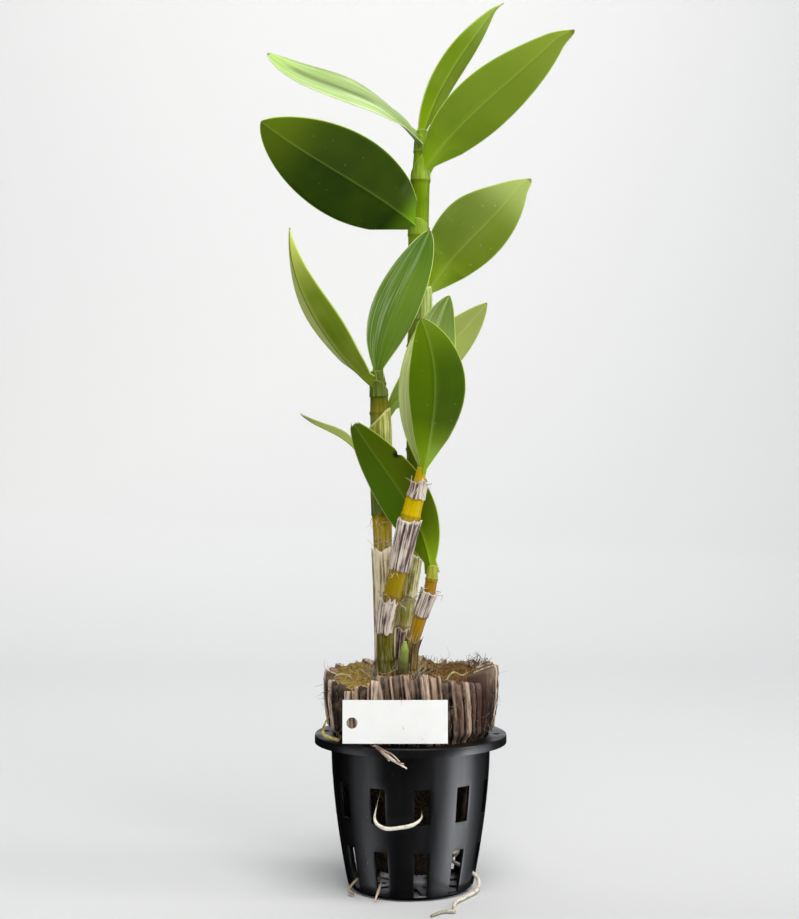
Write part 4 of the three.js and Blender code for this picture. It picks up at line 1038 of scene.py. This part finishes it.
# %% Many strands in one mesh, each given by its points and the radius at its root
def strands_mesh(curves, steps=5):
    pattern = bpy.data.meshes.new("strand")
    rod = straight_rod(3, steps)
    rod.to_mesh(pattern)
    rod.free()
    bm = bmesh.new()
    straight = bm.verts.layers.float_vector.new("straight")
    mark = bm.verts.layers.float.new("mark")
    for seed, (line, radius) in enumerate(curves):
        before = len(bm.verts)
        bm.from_mesh(pattern)
        bm.verts.ensure_lookup_table()
        rings = rings_along(line, [radius, radius * 0.8, radius * 0.25], steps)
        for vert in bm.verts[before:]:
            middle, side, front, out = rings[round(vert.co.z * steps)]
            vert[straight] = (vert.co.z * 9, scatter(seed) * 50, seed)
            vert[mark] = vert.co.z
            vert.co = middle + side * (vert.co.x * out) + front * (vert.co.y * out)
    bpy.data.meshes.remove(pattern)
    return bm


# %% A strand that leaves a point, bends, and ends some way off, with its radius
def wander(start, to, length, curl, seed, radius):
    jolt = [Vector([scatter(seed + 13 * k + j) for j in range(3)]) * curl for k in range(3)]
    start, to = Vector(start), Vector(to).normalized()
    return [start, start + to * length * 0.33 + jolt[0] * 0.4, start + to * length * 0.66 + jolt[1] * 0.8,
            start + to * length + jolt[2]], radius


# %% Paint for fine strands
def fibre_finish(name, dark, light):
    fibre, node = new_finish(name)
    straight = node("Attribute", out="Vector", attribute_name="straight")
    tone = node("ValToRGB", node("TexNoise", straight, 0.3, 2.0), stops=[(0.35, dark), (0.65, light)])
    return end_finish(fibre, {"Base Color": tone, "Roughness": 0.8, "IOR": 1.4})


# %% Moss stalks: short, golden, all over the cushion
stalks = []
for k in range(900):
    x, y = 39 * scatter(k * 2.1), 36 * scatter(k * 3.3 + 5)
    if math.hypot(x, y) < 38 and (abs(x) > 14 or y > -10):
        lean = (scatter(k + 0.3), scatter(k + 0.6), 1.3)
        stalks.append(wander((x, y, 108.8 + moss_rise(x, y)), lean, 2.4 + 1.1 * scatter(k), 0.5, k, 0.16))

# %% Husk fibres: tan and brown, along the strips' faces and tops
fibres = []
for k in range(260):
    bearing = math.radians(180 * scatter(k * 1.7 + 2))
    lean = round_pot(bearing, 0.35, 1.2 * scatter(k + 0.5))
    foot = round_pot(bearing, 41.4 + 1.2 * scatter(k * 5), 98 + 13 * scatter(k * 2.9))
    fibres.append(wander(foot, lean, 7 + 4 * scatter(k * 7), 1.8, k, 0.13))

# %% Shreds of sheath: at each of eight places on the canes, towards the front
SHREDDED = [("cane_left", 178), ("cane_left", 190), ("cane_tall", 172), ("cane_tall", 150),
            ("cane_front", 151), ("cane_front", 166), ("cane_short", 155), ("cane_front", 209)]
shreds = []
for k in range(72):
    on, height = SHREDDED[k % 8]
    angle = math.pi * (0.5 + 0.6 * scatter(k * 3.1))
    skin = value_at(CANES[on]["radius"], height) + 0.5
    foot = beside_cane(CANES[on], height + 2.5 * scatter(k * 1.3), angle, skin)
    lean = (scatter(k * 2.2), -0.25, 0.9 * scatter(k * 4.4))
    shreds.append(wander(foot, lean, 4.5 + 2.5 * scatter(k * 6), 1.7, k + 400, 0.24))

# %% Pale fibres round the canes' feet
feet = []
for k in range(240):
    x, y = ((-13.5, 2), (-12, -12), (-1.2, -8), (-6, 12))[k % 4]
    out_x, out_y = (turn(math.pi * scatter(k * 1.9)) for turn in (math.cos, math.sin))
    lean = (0.5 * out_x, 0.5 * out_y, 1.1 + scatter(k * 3))
    feet.append(wander((x + 5 * out_x, y + 5 * out_y, 107), lean, 8 + 4 * scatter(k * 5), 2.4, k + 200, 0.3))

# %% Dark curly hairs: on the right, behind the canes, down the bark and at the left
curls = [wander((36 + 5 * scatter(k), 14 + 7 * scatter(k * 3), 112), (0.4 * scatter(k * 2), 0, 1),
                5.5 + 3 * scatter(k * 5), 2.4, k, 0.2) for k in range(46)]
curls += [wander((8 + 4.5 * scatter(k * 7), 4 + 6 * scatter(k * 11), 109), (0.5 * scatter(k * 3), 0, 1),
                 4.5 + 2 * scatter(k * 13), 2.0, k + 50, 0.18) for k in range(34)]
curls += [wander(round_pot(math.radians(66 + 9 * scatter(k * 3)), 44, 86 + 5 * scatter(k)),
                 (0.16 + 0.1 * scatter(k * 9), -0.05, 1), 19 + 5 * scatter(k * 5), 1.2, k + 90, 0.22)
          for k in range(12)]
curls += [wander(round_pot(math.radians(-72 + 12 * scatter(k * 3)), 43, 100 + 6 * scatter(k)),
                 (-0.5, -0.2, 0.9 * scatter(k * 4)), 5 + 2 * scatter(k * 6), 1.3, k + 120, 0.12)
          for k in range(18)]

# %% The strands as pieces: strands, steps, finish, its two colours, slot
STRANDS = {
    "moss_stalks": (stalks, 3, "golden_moss_stalks", "#6b5220", "#b8984a", "coir"),
    "husk_fibres": (fibres, 5, "husk_fibre", "#4a3628", "#b39c78", "husk"),
    "sheath_shreds": (shreds, 6, "shred_of_dry_sheath", "#8d7450", "#dccfb2", "dry_sheath"),
    "pale_foot_fibres": (feet, 6, "pale_dead_rootlet", "#6f6452", "#cfc6b2", "husk"),
    "dark_hairs": (curls, 6, "dark_root_hair", "#15110d", "#43352a", "husk"),
}
for name, (strands, steps, finish, dark, light, slot) in STRANDS.items():
    make_piece(name, strands_mesh(strands, steps), fibre_finish(finish, dark, light), slot)

# %% [markdown]
# ## Roots, rhizome and shoot
# An orchid's root is a round cord about two millimetres thick, wrapped in dead white cells that
# soak up water, with a green or brown growing tip. Roots wander, and swell and thin as they go. A
# rod is bent along a smooth curve through the same points as its solid. Its ring of points is
# carried along without twisting.


# %% Bend a rod along such a curve
def growth_mesh(line, radii, sides=14, lumps=0.12, seed=1.0):
    length = sum((Vector(b) - Vector(a)).length for a, b in zip(line, line[1:]))
    steps = int(length / 0.9)
    rings = rings_along(line, radii, steps)

    def rule(p):
        middle, side, front, radius = rings[round(p.z * steps)]
        angle = math.atan2(p.y, p.x)
        out = math.hypot(p.x, p.y) * radius
        out *= 1 + lumps * roughness_at((p.z * length * 0.35, angle, seed * 7), 1.0)
        place = middle + side * (math.cos(angle) * out) + front * (math.sin(angle) * out)
        return place, (p.z * length, angle * 2, seed), p.z

    return bend(straight_rod(sides, steps), rule)


# %% [markdown]
# ### Root skin
# Dry root skin is cream to pale buff, matt and a little spongy. Along its length it has thin grey
# and tan stains, and towards the end it goes brownish or green.


# %% Paint for a root: its own colour, its stains, and its tip from some share of its length on
def root_finish(name, pale, stain, tip, tip_from=0.86):
    skin, node = new_finish(name)
    blots = node("TexNoise", node("Attribute", out="Vector", attribute_name="straight"), 0.35, 5.0)
    tone = node("ValToRGB", blots, stops=[(0.38, stain), (0.55, pale)])
    end = node("MapRange", node("Attribute", out="Fac", attribute_name="mark"), tip_from, 1.0)
    return end_finish(skin, {"Base Color": node("Mix", end, tone, tip), "Roughness": 0.8, "IOR": 1.36},
                      relief=(blots, 0.4, 0.0004))


ROOT_SKINS = {key: root_finish(*row) for key, row in {
    "pink": ("brown_root_with_pale_tip", "#a08478", "#5a3e34", "#efe6da", 0.62),
    "brown": ("young_root_in_the_dark", "#4a362c", "#33241c", "#e0c8bc", 0.5),
    "cream": ("cream_root_skin", "#efebdf", "#cfc4ac", "#d6cdb6"),
    "olive": ("cream_root_with_olive_tip", "#e4dfd0", "#b5ab92", "#8d8a72", 0.7),
    "amber": ("old_root_skin", "#b9ae6c", "#7d7434", "#9a9040", 0.9),
    "buff": ("buff_root_skin", "#b3a488", "#7b6b50", "#8a785a"),
    "yellow": ("yellowish_rootlet_skin", "#d2c998", "#a3955e", "#b5a878"),
    "mossy": ("rhizome_skin", "#a39a72", "#6b5f3a", "#8a8050"),
    "scales": ("scales_of_the_new_shoot", "#5f5a30", "#4a4422", "#92a84a", 0.45),
}.items()}

# %% The roots: points, radii, skin
ROOTS = {
    "root_front_loop": ([(-14.6, -26, 57), (-17, -35.6, 50), (-18, -40.4, 43), (-13.4, -41.8, 39.4),
                         (-5.8, -42.8, 39.8), (1, -43, 41.4), (4.8, -40.6, 43.8), (5.4, -34.5, 45.4),
                         (5, -27.5, 46)], [0.08, 0.1, 0.7, 1.0, 0.95, 0.95, 0.5, 0.08, 0.08], "cream"),
    "root_over_rim": ([(-21, -35, 87), (-20.5, -40, 83.8), (-19.5, -44.3, 81.15), (-17.2, -48.6, 81.15),
                       (-14, -52, 79), (-9.8, -53.4, 76), (-2.2, -53.4, 71.2)],
                      [0.5, 0.5, 0.5, 0.6, 0.95, 0.85, 0.35], "pink"),
    "root_rim_left": ([(-40.5, -6, 92), (-43.8, -12, 87.5), (-45, -17, 83), (-42.6, -23, 81.7),
                       (-36.4, -33, 81.6)], [0.3, 0.45, 0.9, 1.0, 0.8], "amber"),
    "root_floor": ([(17, -5.5, 17), (24.5, -7.6, 13), (30.5, -9, 10), (34.4, -10.4, 6.6), (34.8, -13, 3),
                    (32.6, -18.4, 1.5), (28, -26.5, 1.4), (22.5, -37, 1.4), (21.2, -45, 1.4), (21, -53, 1.4),
                    (16.8, -52.5, 1.2), (13.8, -54.5, 1), (9.6, -60, 0.9)],
                   [0.8, 1.0, 1.0, 0.95, 0.9, 0.9, 0.85, 0.85, 0.6], "olive"),
    "root_window_front": ([(-8, -22, 26), (-11.4, -27, 19.5), (-14.2, -30.2, 12), (-16.4, -33, 6),
                           (-18.2, -36, 1.6)], [0.1, 0.1, 0.12, 0.7, 0.35], "brown"),
    "root_window_right": ([(13, -18, 31), (17.6, -23.4, 27), (20.6, -24.4, 24), (23.6, -22, 23.8),
                           (23, -16.5, 20)], [1.1, 1.4, 1.5, 1.4, 1], "cream"),
    "root_stub_left": ([(-14.5, -9.5, 16), (-24, -15.4, 10), (-29.6, -18.8, 6), (-31.4, -20.6, 2.6),
                        (-29, -23.4, 1.3)], [0.5, 0.6, 0.7, 0.5], "buff"),
    "rootlets_top_left": ([(-36, -6, 104), (-39.4, -9.5, 108.6), (-37, -12, 111.8), (-31, -12.5, 110.6),
                           (-30, -9.5, 104)], [0.4, 0.42, 0.45, 0.42, 0.3], "yellow"),
    "rootlets_top_right": ([(17.5, -16, 102), (18.6, -16.5, 110), (22, -15, 113.4), (26, -12, 111.4),
                            (29.5, -10.5, 112.6)], [0.3, 0.36, 0.38, 0.34, 0.2], "yellow"),
}
for seed, (name, (line, radii, skin)) in enumerate(ROOTS.items()):
    make_piece(name + "_cord", growth_mesh(line, radii, seed=seed), ROOT_SKINS[skin], "root", replaces=[name])

# %% Side rootlets that fork off over the rim
for k, (line, radius) in enumerate([
        ([(-17, -49, 81.6), (-13, -52.6, 79.6), (-9.5, -53.6, 78.2), (-5.6, -53.8, 74.6)], 0.5),
        ([(-15.4, -50.6, 80), (-12, -53, 76.2), (-10.6, -53.6, 74.9)], 0.45),
        ([(-10.5, -53.2, 76.6), (-6.4, -54, 74.4), (-3.6, -53.8, 73.6)], 0.4)]):
    bm = growth_mesh(line, [radius, radius, radius * 0.5], sides=8, seed=k + 30)
    make_piece(f"rim_rootlet_{k + 1}", bm, ROOT_SKINS["pink"], "root")

# %% The rhizome, lumpy where each cane starts
bm = growth_mesh([(-6, 15.5, 102.8), (-10.5, 9, 103.2), (-14, 1.5, 103.6), (-13.8, -6.5, 103.6),
                  (-10.4, -12, 103.6), (-4.6, -12.2, 103.6), (0.6, -8, 103.2)],
                 [2.4, 3.8, 4.4, 4.2, 4.4, 3.8, 2.4], sides=24, lumps=0.2, seed=12)
make_piece("rhizome_stem", bm, ROOT_SKINS["mossy"], "root", replaces=["rhizome"])

# %% The new shoot: tight scales round a soft bud, brown at the foot and green on top
bm = growth_mesh([(-5.2, -15.4, 103), (-4.4, -16, 112), (-3.6, -16.4, 121), (-2.8, -16.4, 129.5)],
                 [1.6, 2.1, 2.4, 2.5, 2.4, 2.1, 0.5], sides=24, lumps=0.05, seed=4)
make_piece("new_shoot_bud", bm, ROOT_SKINS["scales"], "shoot", replaces=["new_shoot"])

# %% [markdown]
# ## The name card
# A plain white plastic card, about a third of a millimetre thick, with one punched hole. It leans
# against the husk with its foot on the rim, and is very slightly curled. It is one grid of squares:
# those in the hole are taken out, and the edge left behind is drawn to a true circle.

# %% The card
CARD_WIDTH, CARD_HEIGHT, CARD_THICKNESS = 52.1, 21.4, 0.35
HOLE_PLACE, HOLE_RADIUS = (4.7, 10.1), 2.75  # from the lower left corner
bm = bmesh.new()
bmesh.ops.create_grid(bm, x_segments=78, y_segments=32, size=1)
bmesh.ops.scale(bm, vec=(CARD_WIDTH / 2, CARD_HEIGHT / 2, 1), verts=bm.verts)
punch(bm, Vector((HOLE_PLACE[0] - CARD_WIDTH / 2, HOLE_PLACE[1] - CARD_HEIGHT / 2, 0)), HOLE_RADIUS)
bmesh.ops.rotate(bm, cent=(0, 0, 0), matrix=Matrix.Rotation(math.radians(86), 3, "X"), verts=bm.verts)
for vert in bm.verts:  # a curl of half a millimetre
    vert.co.y += 0.5 * (vert.co.x / 26) ** 2
bmesh.ops.translate(bm, vec=(-7.95, -45.85, 92.9), verts=bm.verts)

# %% White plastic card: bright, smooth, faintly mottled where it has been handled
card_stock, node = new_finish("white_plastic_card")
smudge = node("TexNoise", node("TexCoord", out="Object"), 90.0, 3.0)
white = node("ValToRGB", smudge, stops=[(0.35, "#f8f8f8"), (0.6, "#fcfcfc")])
end_finish(card_stock, {"Base Color": white, "Roughness": 0.42, "Subsurface Weight": 0.1,
                        "Subsurface Scale": 0.0008})
card = make_piece("name_card_blank", bm, card_stock, "name_card", replaces=["name_card"], smooth=False)
thicken(card, CARD_THICKNESS, 0)
